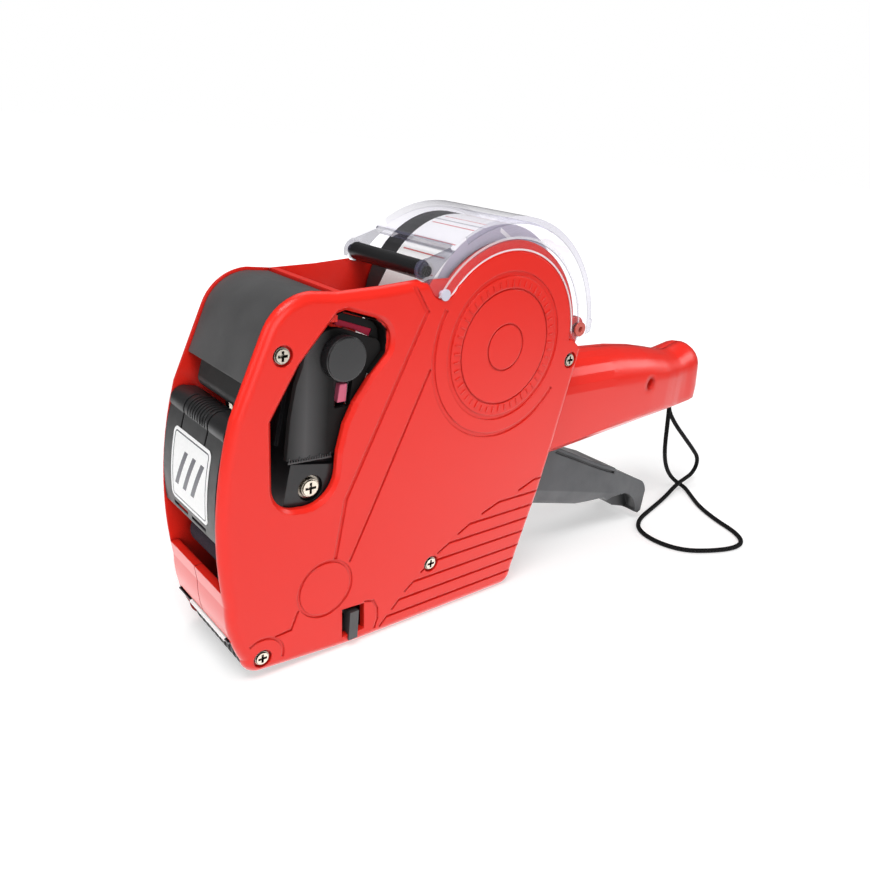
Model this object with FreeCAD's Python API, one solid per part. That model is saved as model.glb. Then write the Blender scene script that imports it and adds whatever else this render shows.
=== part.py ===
import FreeCAD, Part
import math
import os
from FreeCAD import Vector

os.makedirs("parts", exist_ok=True)

# Frame while drawing, in mm: origin on the floor under the middle of the label
# disc, nose towards -X, handle towards +X, visible side towards -Y, Z up.
# Every piece is moved by these two amounts when it is written, so that the
# origin lies at the bottom centre of the object without its strap.
MID_X = 18.8
MID_Y = 0.0

# Case widths
HALF = 18.4
INNER = 16.0
CHANNEL = 15.8

# Named places, each (x, z)
DISC = (0.0, 85.4)
ROLL = (-1.2, 93.6)
ROLL_R = 26.8
COVER_PIVOT = (32.2, 88.2)
SNAP = (-25.4, 102.5)
GUIDE_BAR = (-31.6, 108.9)
LEVER_PIVOT = (20.0, 44.0)
PRINT_FACE = (-66.5, 42.5)
KNOB = (-56.3, 88.2)
HEAD_LEAN = math.radians(10)
APPLICATOR = (-78.5, 6.7)
UPPER_PIN = (-34.5, 84.0)
LOWER_PIN = (-44.5, 21.5)
FEED = (-31.8, 20.0)
FEED_R = 6.4
PINCH = (-31.8, 9.2)
PINCH_R = 4.0
INK_PIVOT = (-81.5, 62.0)
INK = (-80.2, 34.2)
FRONT_HINGE = (-87.8, 45.2)
BOTTOM_HINGE = (-69.5, 4.4)
STRAP_PIN = (116.4, 54.8)
SPRING = (-12.0, 26.5, 46.5)

BODY_SCREWS = [(-74.0, 90.7), (-21.2, 18.7), (30.2, 78.1), (85.8, 61.0)]
SCREW_R = 1.5

# Label web, the same band across the object as the labels on the roll
WEB_Y = (-13.7, 7.6)
WEB_T = 0.25


# Shared shape helpers
def put(x, z, y=0.0):
    return Vector(x, y, z)


def outline(points):
    """Closed wire in the plane y = 0 from (x, z) points.

    An item ("arc", through, end) is an arc, and ("bends", points) a chain of arcs,
    each tangent to the stretch before it.
    """
    edges = []
    here = points[0]
    heading = 0.0
    for item in points[1:]:
        if item[0] == "arc":
            edges.append(Part.Arc(put(*here), put(*item[1]), put(*item[2])).toShape())
            here = item[2]
        elif item[0] == "bends":
            for end in item[1]:
                through, heading = tangent_arc(here, heading, end)
                edges.append(Part.Arc(put(*here), put(*through), put(*end)).toShape())
                here = end
        else:
            edges.append(Part.LineSegment(put(*here), put(*item)).toShape())
            heading = math.atan2(item[1] - here[1], item[0] - here[0])
            here = item
    if math.dist(here, points[0]) > 1e-6:
        edges.append(Part.LineSegment(put(*here), put(*points[0])).toShape())
    return Part.Wire(edges)


def tangent_arc(start, heading, end):
    """Middle point and end heading of the arc that leaves start along a heading."""
    chord = math.atan2(end[1] - start[1], end[0] - start[0])
    swing = math.remainder(chord - heading, 2 * math.pi)
    half = math.dist(start, end) / 2
    rise = half * math.tan(swing / 2)
    through = ((start[0] + end[0]) / 2 + rise * math.sin(chord), (start[1] + end[1]) / 2 - rise * math.cos(chord))
    return through, chord + swing


def slab(points, y0, y1):
    face = Part.Face(outline(points))
    face.translate(Vector(0, y0, 0))
    return face.extrude(Vector(0, y1 - y0, 0))


def block(x0, x1, y0, y1, z0, z1):
    return Part.makeBox(x1 - x0, y1 - y0, z1 - z0, Vector(x0, y0, z0))


def rod(at, r, y0, y1):
    return Part.makeCylinder(r, y1 - y0, put(at[0], at[1], y0), Vector(0, 1, 0))


def tube(at, r, bore, y0, y1):
    return rod(at, r, y0, y1).cut(rod(at, bore, y0 - 1, y1 + 1))


def prism(at, r, sides, y0, y1):
    """Rod with flat sides along Y."""
    return slab([polar(at, r, 360 * i / sides) for i in range(sides)], y0, y1)


def polar(centre, r, degrees):
    a = math.radians(degrees)
    return (centre[0] + r * math.cos(a), centre[1] + r * math.sin(a))


def sector(centre, r0, r1, a0, a1, y0, y1):
    """Ring segment between two radii and two angles."""
    mid = (a0 + a1) / 2
    points = [polar(centre, r1, a0), ("arc", polar(centre, r1, mid), polar(centre, r1, a1)),
              polar(centre, r0, a1), ("arc", polar(centre, r0, mid), polar(centre, r0, a0))]
    return slab(points, y0, y1)


def join(shapes):
    return shapes[0].multiFuse(shapes[1:]).removeSplitter()


def group(shapes):
    return Part.makeCompound(shapes)


def flip(shape):
    return shape.mirror(Vector(0, 0, 0), Vector(0, 1, 0))


def head_point(across, up):
    """Place in the leaning frame of the print head, measured from its print face."""
    x = PRINT_FACE[0] + across * math.cos(HEAD_LEAN) + up * math.sin(HEAD_LEAN)
    z = PRINT_FACE[1] - across * math.sin(HEAD_LEAN) + up * math.cos(HEAD_LEAN)
    return (x, z)


def head_block(c0, c1, a0, a1, y0, y1):
    corners = [(c0, a0), (c1, a0), (c1, a1), (c0, a1)]
    return slab([head_point(*corner) for corner in corners], y0, y1)


def ribbon(path, thick, y0, y1):
    """Thin sheet that follows an open path of (x, z) points."""
    left = []
    right = []
    for i, (x, z) in enumerate(path):
        before = path[max(i - 1, 0)]
        after = path[min(i + 1, len(path) - 1)]
        dx, dz = after[0] - before[0], after[1] - before[1]
        size = math.hypot(dx, dz)
        nx, nz = -dz / size * thick / 2, dx / size * thick / 2
        left.append((x + nx, z + nz))
        right.append((x - nx, z - nz))
    return slab(left + right[::-1], y0, y1)


def arc_path(centre, r, a0, a1, count):
    return [polar(centre, r, a0 + (a1 - a0) * i / (count - 1)) for i in range(count)]


def groove(points, width, depth):
    """Shallow channel in the outer face of the near side along (x, z) points."""
    cuts = []
    for (xa, za), (xb, zb) in zip(points, points[1:]):
        size = math.hypot(xb - xa, zb - za)
        bar = Part.makeBox(size + width, depth + 1, width, Vector(-width / 2, 0, -width / 2))
        bar.rotate(Vector(0, 0, 0), Vector(0, 1, 0), -math.degrees(math.atan2(zb - za, xb - xa)))
        bar.translate(put(xa, za, -HALF - 1))
        cuts.append(bar)
    return cuts


# Case halves
CASE = [(-44.0, 0.0), (11.8, 0.0), ("arc", (15.0, 1.4), (16.4, 5.1)), (20.6, 19.2), (24.8, 32.8),
        (28.3, 47.2), (35.5, 80.3), (32.4, 83.0), (30.0, 84.8), (27.9, 84.8),
        ("arc", (6.0, 112.65), (-20.4, 104.4)), ("arc", (-25.3, 101.0), (-30.2, 103.9)),
        (-32.1, 106.8), (-45.0, 105.6), (-59.0, 104.9), (-66.0, 105.4),
        ("arc", (-73.5, 102.9), (-78.8, 96.2)), (-86.8, 76.4), ("arc", (-90.5, 51.0), (-88.5, 25.0)),
        ("arc", (-87.2, 15.0), (-84.2, 7.4)), ("arc", (-82.6, 3.8), (-79.3, 2.1)),
        (-56.0, 0.43), ("arc", (-50.0, 0.107), (-44.0, 0.0))]

CHAMBER = [(-43.7, 2.4), (10.3, 2.4), ("arc", (13.0, 3.4), (14.2, 6.0)), (18.3, 19.9), (22.4, 33.5),
           (25.9, 47.8), (32.9, 80.0), (30.0, 83.0), (30.0, 125.0), (-57.3, 125.0), (-57.3, 97.0),
           (-59.3, 97.0), (-59.3, 100.2), (-65.6, 100.4), ("arc", (-70.4, 98.6), (-74.4, 93.6)),
           (-81.9, 75.6), ("arc", (-86.0, 52.0), (-84.2, 27.0)), ("arc", (-82.6, 18.0), (-80.8, 14.6)),
           (-72.0, 14.6), (-72.0, -3.0), (-43.7, -3.0)]

NOSE_OPEN = [(-59.3, 125.0), (-100.0, 125.0), (-100.0, 29.5), (-86.9, 29.5), (-86.4, 24.0),
             (-84.4, 14.7), (-100.0, 14.7), (-100.0, -5.0), (-43.7, -5.0), (-43.7, 20.0),
             (-59.3, 20.0)]

WINDOW = [(-56.3, 100.4), (-46.8, 97.6), ("arc", (-42.6, 94.2), (-42.8, 87.8)), (-47.6, 82.6),
          (-52.4, 75.9), (-55.2, 70.0), (-56.9, 62.4), (-57.1, 57.4), ("arc", (-60.0, 50.9), (-68.0, 48.8)),
          ("arc", (-73.9, 51.2), (-76.2, 57.4)), (-76.7, 74.4), (-69.1, 87.9), (-64.0, 93.8),
          (-58.8, 99.8)]

WINDOW_BEVEL = 1.0
WINDOW_WALL = [(-58.8, 99.8), (-56.3, 100.4), (-46.8, 97.6), (-42.6, 94.2), (-42.8, 87.8), (-46.6, 83.7),
               (-45.6, 82.7), (-41.3, 87.4), (-40.9, 94.6), (-46.2, 99.2), (-56.3, 102.0), (-59.6, 101.2)]

LATCH_WINDOW = [(-53.5, 13.4), (-45.9, 13.1), (-45.3, 4.2), (-53.0, 3.9)]

# Parting line down the sill under the nose opening
SILL_SEAM = [(-95.0, 29.6), (-88.5, 29.6), (-87.9, 25.0), (-86.3, 15.0), (-85.6, 14.0), (-95.0, 14.0)]

# Handle sections: x, top, height where the rounded upper part starts, half width there
HANDLE_STATIONS = [
    (24.0, 74.4, 63.4, 13.0), (45.0, 74.7, 63.4, 13.0), (60.0, 74.7, 63.2, 13.0), (74.0, 74.2, 62.8, 13.0),
    (88.0, 72.7, 62.2, 12.9), (98.0, 70.9, 61.8, 12.5), (105.0, 69.5, 61.6, 11.7), (109.5, 69.2, 61.6, 10.9),
    (113.5, 70.4, 61.6, 10.3)]
HANDLE_END = (118.2, 61.5)
HANDLE_END_R = 10.0
HANDLE_END_TURNS = [0, 18, 35, 50, 64, 76, 85]
HANDLE_FRONT = (24.0, 41.25)
HANDLE_CORNER = (121.9, 49.5)
# Half width of the underside along the handle and at its end, and the bevel beside it
HANDLE_FEET = (10.8, 10.4)
HANDLE_NECK = 105.0
HANDLE_BEVEL = (2.2, 2.35)

HANDLE_HOLLOW = [(18.0, 67.4), (60.0, 67.8), (98.0, 64.6), (104.0, 63.6), (104.0, 49.8), (42.0, 45.4), (18.0, 44.0)]
HANDLE_HOLLOW_END = [(103.0, 63.6), (112.0, 62.6), (117.0, 60.6), (119.2, 57.0), (118.6, 51.8), (103.0, 50.0)]

# Shallow grooves in the sides: points and width of each
RIDGE_LINES = [
    ([(-36.0, 105.7), (-30.9, 98.2), (-54.1, 48.5), (-56.5, 31.5)], 1.2),
    ([(-28.4, 81.7), (-44.0, 46.0), (-51.6, 29.0)], 0.8),
    ([(-68.0, 17.8), (-70.0, 12.8), (-74.6, 12.4)], 0.7),
    ([(-45.5, 13.6), (-42.6, 12.7), (-40.9, 9.6), (-40.6, 6.0), (-41.4, 3.2)], 0.7),
]
# Terraced steps at the lower rear: knee of each line and how far its leg runs back
STEPS = [(21.0, 38.1, 6.7), (5.6, 33.5, 6.9), (-6.3, 28.7, 4.6), (-14.3, 24.1, 4.3), (-20.8, 19.4, 4.0),
         (-27.6, 14.5, 3.0), (-32.8, 9.8, 2.3), (-37.1, 5.3, 2.3)]
STEP_LEG = 2.4


def rear_edge_x(z):
    return 16.4 + (z - 5.1) * (35.5 - 16.4) / (80.3 - 5.1)


def outer_edges(solid, face_y, keep):
    """Edges that lie in one outer face and whose middle passes the test."""
    chosen = []
    for edge in solid.Edges:
        box = edge.BoundBox
        if abs(box.YMin - face_y) > 1e-4 or abs(box.YMax - face_y) > 1e-4:
            continue
        middle = edge.valueAt((edge.FirstParameter + edge.LastParameter) / 2)
        if keep(middle.x, middle.z):
            chosen.append(edge)
    return chosen


def on_case_edge(x, z):
    return not (x > -33 and z > 79)


def relief_cuts():
    cuts = []
    for line, width in RIDGE_LINES:
        cuts += groove(line, width, 0.45)
    for x, z, leg in STEPS:
        cuts += groove([(x - leg, z - STEP_LEG), (x, z), (rear_edge_x(z) + 3, z + 0.1)], 0.8, 0.5)
    cuts.append(ring_cut(DISC, 21.8, 1.4))
    cuts.append(sector(DISC, 26.7, 28.0, 152, 326, -HALF - 1, -HALF + 0.4))
    cuts.append(ring_cut((-59.4, 22.3), 8.5, 0.9))
    cuts.append(sector(APPLICATOR, 5.8, 6.6, -15, 128, -HALF - 1, -HALF + 0.4))
    return cuts


def ring_cut(centre, radius, width):
    return tube(centre, radius + width / 2, radius - width / 2, -HALF - 1, -HALF + 0.4)


def handle_bottom(x):
    """Height of the handle's underside, which turns up past its rear corner."""
    low, high = HANDLE_FRONT, HANDLE_CORNER
    if x > HANDLE_CORNER[0]:
        low, high = HANDLE_CORNER, (HANDLE_END[0] + HANDLE_END_R, HANDLE_END[1])
    return low[1] + (x - low[0]) * (high[1] - low[1]) / (high[0] - low[0])


def handle_foot(x):
    """Half width of the handle's underside."""
    if x < HANDLE_NECK:
        return HANDLE_FEET[0]
    if x > HANDLE_END[0]:
        return HANDLE_FEET[1] * math.sqrt(1 - ((x - HANDLE_END[0]) / (HANDLE_END_R + 0.2)) ** 2)
    share = (x - HANDLE_NECK) / (HANDLE_END[0] - HANDLE_NECK)
    return HANDLE_FEET[0] + (HANDLE_FEET[1] - HANDLE_FEET[0]) * share


def handle_section(x, top, middle, half_width):
    """Near half of a cross-section: flat underside, bevel, upright side and half an ellipse."""
    bottom = handle_bottom(x)
    foot = handle_foot(x)
    side = max(half_width, foot + 0.3)
    bevel_top = bottom + HANDLE_BEVEL[1] * (side - foot) / HANDLE_BEVEL[0] + 0.1
    ring = [put(x, bottom), put(x, bottom, -foot), put(x, bevel_top, -side)]
    for turn in range(0, 91, 15):
        a = math.radians(turn)
        ring.append(put(x, middle + (top - middle) * math.sin(a), -half_width * math.cos(a)))
    return Part.makePolygon(ring + ring[:1])


def handle_half():
    """Solid near half of the handle, lofted through its sections to the ball-shaped end."""
    stations = list(HANDLE_STATIONS)
    for turn in HANDLE_END_TURNS:
        a = math.radians(turn)
        reach = HANDLE_END_R * math.cos(a)
        stations.append((HANDLE_END[0] + HANDLE_END_R * math.sin(a), HANDLE_END[1] + reach, HANDLE_END[1], reach))
    return Part.makeLoft([handle_section(*station) for station in stations], True, True)


def case_half():
    """Near half of the case before its own cut-outs; the far half is its mirror image."""
    solid = slab(CASE, -HALF, 0.0)
    solid = solid.makeFillet(2.7, outer_edges(solid, -HALF, on_case_edge))
    solid = solid.cut(slab(CHAMBER, -INNER, 1.0))
    solid = solid.cut(slab(NOSE_OPEN, -INNER, 1.0))
    handle = handle_half().cut(slab(CHAMBER, -INNER, 1.0))
    pieces = [solid, handle]
    pieces.append(sector(DISC, 26.5, 31.1, -4, 148, -16.7, -15.6))
    pieces.append(slab([(-20.0, 98.0), (-20.0, 106.6), (-32.8, 106.4), (-34.0, 99.0)], -16.7, -INNER + 0.01))
    pieces.append(rod(COVER_PIVOT, 3.7, -16.7, -15.0))
    pieces.append(slab([(28.5, 80.0), (33.0, 81.5), (33.6, 84.8), (29.0, 89.0)], -16.7, -15.0))
    solid = join(pieces)
    solid = solid.cut(slab(HANDLE_HOLLOW, -10.4, 1.0))
    solid = solid.cut(slab(HANDLE_HOLLOW_END, -7.6, 1.0))
    solid = solid.cut(block(12.0, 79.0, -10.4, 1.0, 14.0, 52.0))
    bosses = [rod(at, 3.4, -INNER - 0.5, 0.0) for at in BODY_SCREWS[:3]]
    bosses.append(rod(BODY_SCREWS[3], 3.6, -10.9, 0.0))
    for x0, x1 in [(-69.0, -66.0), (-60.0, -57.0)]:
        bosses.append(block(x0, x1, -INNER - 0.2, -14.6, 8.8, 10.4))
    for x, top in [(52.0, 68.6), (100.0, 65.0)]:
        bosses.append(block(x, x + 1.4, -10.6, -7.0, 52.5, top))
    solid = join([solid] + bosses)
    return solid.cut(shared_cuts())


def shared_cuts():
    """Sockets and openings that both halves have, drawn for the near half."""
    cuts = relief_cuts()
    cuts.append(rod(LEVER_PIVOT, 3.03, -17.4, 0.0))
    cuts.append(rod(COVER_PIVOT, 1.55, -20.0, 0.0))
    cuts.append(rod(GUIDE_BAR, 3.1, -20.0, 0.0))
    cuts.append(rod(APPLICATOR, 2.03, -16.4, 0.0))
    cuts.append(rod(INK_PIVOT, 1.55, -17.2, 0.0))
    cuts.append(rod(FRONT_HINGE, 1.03, -17.0, 0.0))
    cuts.append(rod(BOTTOM_HINGE, 1.03, -17.0, 0.0))
    for at, r in [(UPPER_PIN, 2.2), (LOWER_PIN, 3.0), (FEED, 2.0), (PINCH, 1.5)]:
        cuts.append(rod(at, r + 0.02, -17.2, -INNER + 0.1))
    cuts.append(slab([(-4.4, 93.6), ("arc", (-1.2, 90.4), (2.0, 93.6)), (2.0, 120.0), (-4.4, 120.0)],
                     -16.25, -15.0))
    cuts.append(slab(LATCH_WINDOW, -20.0, -15.0))
    cuts.append(block(116.0, 121.1, -2.6, 1.0, 44.0, 53.0))
    cuts.append(block(-27.2, -25.0, -14.2, 1.0, -1.0, 3.0))
    cuts.append(rod(STRAP_PIN, 1.52, -8.65, -7.0))
    cuts.append(slab(SILL_SEAM, -0.12, 1.0))
    return cuts


def window_bevel():
    """Solid whose slanted sides take the sharp edge off the side window."""
    wide = outline(WINDOW).makeOffset2D(WINDOW_BEVEL + 0.01, 2)
    wide.translate(Vector(0, -HALF - 0.01, 0))
    narrow = outline(WINDOW)
    narrow.translate(Vector(0, -HALF + WINDOW_BEVEL, 0))
    return Part.makeLoft([wide, narrow], True, True)


def case_near():
    solid = case_half()
    solid = solid.cut(slab(WINDOW, -20.0, -INNER + 0.5))
    solid = join([solid.cut(window_bevel()), slab(WINDOW_WALL, -INNER - 0.5, -9.0)])
    cuts = []
    for at in BODY_SCREWS[:3]:
        cuts.append(rod(at, 2.7, -20.0, -17.0))
        cuts.append(rod(at, SCREW_R + 0.05, -20.0, 1.0))
    cuts.append(rod(BODY_SCREWS[3], 2.3, -20.0, -8.4))
    cuts.append(rod(BODY_SCREWS[3], SCREW_R + 0.05, -20.0, 1.0))
    cuts.append(rod(APPLICATOR, 2.7, -20.0, -17.0))
    cuts.append(rod(APPLICATOR, SCREW_R + 0.05, -20.0, -15.0))
    for radius in (17.4, 7.0):
        cuts.append(ring_cut(DISC, radius, 0.5))
    return solid.cut(cuts)


def case_far():
    solid = flip(case_half())
    pilots = [rod(at, SCREW_R + 0.02, -1.0, 8.0) for at in BODY_SCREWS]
    return solid.cut(pilots)


def pan_screw(at, face_y, head_r, length):
    """Pan head screw along +Y whose seat lies at face_y, with a cross recess."""
    crown = prism(at, head_r - 0.35, 16, face_y - 1.3, face_y - 0.9)
    rim = prism(at, head_r, 16, face_y - 0.9, face_y)
    screw = join([crown, rim, prism(at, SCREW_R, 12, face_y, face_y + length)])
    arm = head_r * 0.62
    for width, height in [(arm, 0.35), (0.35, arm)]:
        screw = screw.cut(block(at[0] - width, at[0] + width, face_y - 2, face_y - 0.5,
                                at[1] - height, at[1] + height))
    return screw


def case_screws():
    screws = [pan_screw(at, -17.0, 2.1, 22.0) for at in BODY_SCREWS[:3]]
    screws.append(pan_screw(BODY_SCREWS[3], -8.4, 2.0, 12.6))
    screws.append(pan_screw(APPLICATOR, -17.0, 2.1, 6.0))
    return group(screws)


# Nose pieces
def top_cap():
    outer = [(-59.6, 104.1), (-66.0, 104.5), ("arc", (-73.0, 102.2), (-78.1, 95.7)), (-82.7, 84.0),
             (-80.9, 83.2), (-76.4, 94.6), ("arc", (-72.0, 100.6), (-66.0, 102.5)), (-59.6, 102.1)]
    cap = slab(outer, -CHANNEL, CHANNEL)
    ribs = []
    for y in (-14.8, 13.4):
        ribs.append(slab([(-60.5, 102.4), (-60.5, 99.2), (-65.0, 99.4), (-67.5, 102.4)], y, y + 1.4))
        ribs.append(slab([(-77.4, 92.0), (-80.9, 83.4), (-79.4, 82.8), (-74.6, 90.4)], y, y + 1.4)
                    .cut(rod(BODY_SCREWS[0], 3.7, -20, 20)))
    ribs.append(block(-60.6, -59.6, -CHANNEL, CHANNEL, 100.4, 103.0))
    ribs.append(slab([(-82.2, 84.0), (-79.9, 84.0), (-77.6, 79.0), (-78.2, 76.6), (-81.4, 76.4),
                      ("arc", (-83.0, 77.8), (-83.2, 80.0))], -CHANNEL, 8.6))
    return join([cap] + ribs)


def front_cover():
    outer = [(-89.9, 43.4), ("arc", (-90.2, 57.0), (-87.9, 70.4)), ("arc", (-86.9, 74.0), (-84.2, 75.0)),
             (-80.6, 74.2), (-80.9, 72.6), (-84.0, 73.0), ("arc", (-85.3, 72.4), (-86.1, 70.0)),
             ("arc", (-88.3, 57.0), (-88.1, 47.6)), (-87.8, 43.4)]
    cover = slab(outer, -15.7, 15.7)
    sides = []
    for y0, y1 in [(-15.7, -14.2), (14.2, 15.7)]:
        side = [(-89.6, 47.0), ("arc", (-89.8, 57.0), (-87.5, 70.0)), (-85.1, 70.0), (-86.0, 58.0),
                (-85.6, 47.2), (-86.0, 44.0), (-89.2, 44.0)]
        sides.append(slab(side, y0, y1))
    for y0 in (-13.9, -3.0, 9.9):
        sides.append(tube(FRONT_HINGE, 2.0, 1.05, y0, y0 + 4.0))
    cover = join([cover] + sides)
    cuts = []
    tab = [(-92.0, 70.6), (-92.0, 78.0), (-80.0, 78.0), (-80.0, 73.7), (-84.0, 74.3), (-86.3, 73.3),
           (-87.2, 70.6)]
    for i in range(8):
        y = -5.6 + 1.4 * i
        cuts.append(slab(tab, y, y + 0.65))
    for y in (-7.4, 6.6):
        cuts.append(block(-92.0, -83.5, y, y + 0.8, 65.6, 77.0))
    cuts.append(block(-83.5, -80.0, -2.62, -0.58, 72.3, 73.35))
    cuts.append(rod(FRONT_HINGE, 1.05, -16.0, 16.0))
    for y0 in (-9.7, 1.2):
        cuts.append(rod(FRONT_HINGE, 2.3, y0, y0 + 8.5))
    return cover.cut(cuts)


def cover_clip():
    """Bright leaf under the thumb tab that holds the front cover shut."""
    return slab([(-83.4, 72.9), (-80.9, 72.6), (-80.7, 71.9), (-79.2, 71.9), (-78.9, 72.8), (-79.6, 75.6),
                 (-80.3, 75.4), (-79.9, 72.7), (-80.6, 73.2), (-83.4, 73.3)], -2.6, -0.6)


def front_cover_pin():
    return rod(FRONT_HINGE, 1.0, -17.0, 17.0)


def platen_z(x):
    """Height of the platen surface, which rises to the rear to meet the print face."""
    return 15.45 + math.tan(math.radians(8)) * (x + 61.8)


def platen_block():
    top = [(-71.9, platen_z(-71.9) - 1.5), (-48.6, platen_z(-48.6) - 1.5)]
    body = slab([(-71.9, 12.0)] + top + [(-48.6, 10.4), (-68.6, 10.4)], -INNER, INNER)
    stop = [(-49.6, 10.4), (-48.6, 10.4), (-48.6, platen_z(-48.6) - 0.3), (-49.6, platen_z(-49.6) - 0.3)]
    body = join([body, slab(stop, -INNER, INNER)])
    for y in (-12.6, -3.8, 5.0):
        body = body.cut(block(-69.0, -52.0, y, y + 7.6, 9.0, 11.4))
    return body


def platen_pad():
    return slab([(-71.8, platen_z(-71.8) - 1.5), (-50.0, platen_z(-50.0) - 1.5),
                 (-50.0, platen_z(-50.0)), (-71.8, platen_z(-71.8))], -14.6, 14.6)


def peel_plate():
    flat = [(-87.0, 13.2), ("arc", (-87.35, 13.5), (-87.0, 13.8)), (-72.6, 13.85), (-72.3, 13.7),
            (-72.3, 12.2), (-73.0, 12.2), (-73.2, 13.1)]
    return slab(flat, -CHANNEL, CHANNEL)


def web_guide_pins():
    upper = rod(UPPER_PIN, 2.2, -17.2, 17.2)
    lower = rod(LOWER_PIN, 3.0, -17.2, 17.2)
    return group([upper, lower])


def web_path():
    gap = WEB_T / 2 + 0.1
    path = [polar(ROLL, ROLL_R + gap, 151.4)]
    path += arc_path(UPPER_PIN, 2.2 + gap, 151.4, 176.0, 3)
    path += arc_path(LOWER_PIN, 3.0 + gap, 356.0, 278.0, 7)
    rise = WEB_T / 2 + 0.03
    path += [(-50.0, platen_z(-50.0) + rise), (-71.8, platen_z(-71.8) + rise), (-86.6, 14.05)]
    path += arc_path((-87.0, 13.5), 0.5, 100, 260, 5)
    path += [(-76.4, 12.7), (-69.6, 9.5), (-40.0, 9.6), (-33.4, 13.3), (-31.8, 13.4), (-28.8, 13.3),
             (-26.8, 11.2), (-26.1, 6.8), (-26.1, 0.4)]
    return path


def label_web():
    return ribbon(web_path(), WEB_T, WEB_Y[0], WEB_Y[1])


def applicator_axle():
    return rod(APPLICATOR, 2.0, -16.3, 16.3).cut(rod(APPLICATOR, SCREW_R + 0.02, -17.0, -10.5))


def applicator_roller():
    """Soft roller of round ribs on one sleeve."""
    roller = [prism(APPLICATOR, 4.0, 16, -13.8, 13.8)]
    pitch = 27.6 / 10
    for i in range(10):
        y = -13.8 + i * pitch
        roller.append(prism(APPLICATOR, 5.0, 24, y + 0.4, y + 1.8))
    return join(roller).cut(rod(APPLICATOR, 2.05, -14.0, 14.0))


# Lever, yoke and print head
LEVER = [(27.0, 48.4), (40.5, 42.7), (67.0, 30.9), (77.0, 27.2), (78.6, 25.5), (88.0, 21.4), (95.5, 18.0),
         ("arc", (98.6, 15.8), (100.5, 12.3)), (99.8, 3.3), (97.9, 2.6), (92.5, 5.1), (85.4, 7.3),
         (77.9, 11.8), (74.6, 14.8), (65.0, 15.0), (47.6, 16.3), (31.8, 18.3), (23.0, 26.0), (16.0, 37.0),
         (14.0, 42.0), (16.0, 50.0), (21.0, 51.6)]

LEVER_TROUGH = [(34.0, 41.0), (67.0, 27.4), (74.6, 22.4), (74.6, 13.6), (47.6, 14.6), (30.0, 16.5),
                (30.0, 26.0)]

# Hollow in each side of the lever's hooked end
HOOK_HOLLOW = [(76.6, 12.2), (79.5, 13.9), (86.0, 14.2), ("arc", (92.0, 11.0), (95.6, 5.2)), (94.6, 1.0),
               (85.0, 1.0)]

# Line along which each side of the lever folds inwards, and the slope of the fold
LEVER_FOLD = [(28.0, 29.0), (84.0, 14.7)]
FOLD_SLOPE = 0.36


def hand_lever():
    body = slab(LEVER, -10.0, 10.0)
    body = body.cut(slab(LEVER_TROUGH, -8.0, 8.0))
    body = join([body, rod(LEVER_PIVOT, 7.0, -10.0, 10.0), rod(LEVER_PIVOT, 4.3, -13.9, 13.9)])
    for x0, z0, z1 in [(46.0, 16.0, 36.0), (60.0, 15.0, 30.0)]:
        body = join([body, block(x0, x0 + 1.6, -8.5, 8.5, z0 + 3.0, z1)])
    hollow = slab(HOOK_HOLLOW, -11.0, -5.6)
    lip = groove([(40.5, 41.0), (67.0, 29.2), (76.6, 25.4)], 0.9, 0.6)
    for bar in lip:
        bar.translate(Vector(0, HALF - 10.0, 0))
    fold = lever_fold()
    near = [hollow, fold] + lip
    return body.cut(near + [flip(cut) for cut in near] + [rod(LEVER_PIVOT, 3.06, -20, 20)])


def lever_fold():
    """Wedge that leans the lower part of the lever's near side inwards."""
    (xa, za), (xb, zb) = LEVER_FOLD
    along = Vector(xb - xa, 0, zb - za)
    down = Vector(zb - za, 0, xa - xb).normalize()
    start = put(xa, za, -10.0)
    low = start + down * 14.0
    corners = [start, low + Vector(0, 14.0 * FOLD_SLOPE, 0), low - Vector(0, 2.0, 0), start - Vector(0, 2.0, 0)]
    return Part.Face(Part.makePolygon(corners + corners[:1])).extrude(along)


def lever_shaft():
    return rod(LEVER_PIVOT, 3.0, -17.4, 17.4)


YOKE = [(17.0, 50.0), (-2.0, 60.5), (-30.0, 71.5), (-45.5, 76.8), (-48.3, 80.4), (-47.6, 83.4),
        (-43.8, 88.2), ("arc", (-44.2, 90.6), (-46.4, 92.0)), (-56.5, 95.4), ("arc", (-63.6, 93.2), (-66.8, 86.7)),
        (-68.6, 81.8),
        (-70.1, 73.1), (-70.7, 64.6), (-70.9, 62.0), (-56.0, 61.6), (-44.0, 59.0), (-28.0, 51.5),
        (16.0, 39.0), ("arc", (24.3, 43.4), (17.0, 50.0))]
YOKE_OPENING = [(-6.0, 55.4), (-30.0, 65.0), (-42.0, 70.5), (-42.0, 65.0), (-28.0, 57.4), (-6.0, 49.8)]


def yoke_side():
    plate = slab(YOKE, -15.6, -13.9).cut(slab(YOKE_OPENING, -16.0, -13.0))
    cuts = [rod(LEVER_PIVOT, 3.06, -16.0, -13.0), rod(KNOB, 2.56, -16.0, -13.0)]
    return plate.cut(cuts)


def yoke_near():
    slot = [(-58.0, 84.0), (-57.2, 74.3), (-52.6, 74.3), (-51.8, 84.0), (-53.9, 88.2), (-58.7, 88.2)]
    return yoke_side().cut(slab(slot, -16.0, -13.0))


def yoke_far():
    return flip(yoke_side())


def yoke_bar():
    """Cross piece between the yoke arms with the seat of the return spring."""
    x, top = SPRING[0], SPRING[2]
    bar = slab([(x - 6.0, top), (x + 6.0, top), (x + 5.0, top + 3.4), (x - 6.0, top + 5.6)], -13.9, 13.9)
    stud = Part.makeCylinder(3.0, 3.5, Vector(x, 0, top - 3.5))
    return join([bar, stud])


SIXTHS = [math.radians(60 * i) for i in range(6)]


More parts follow.
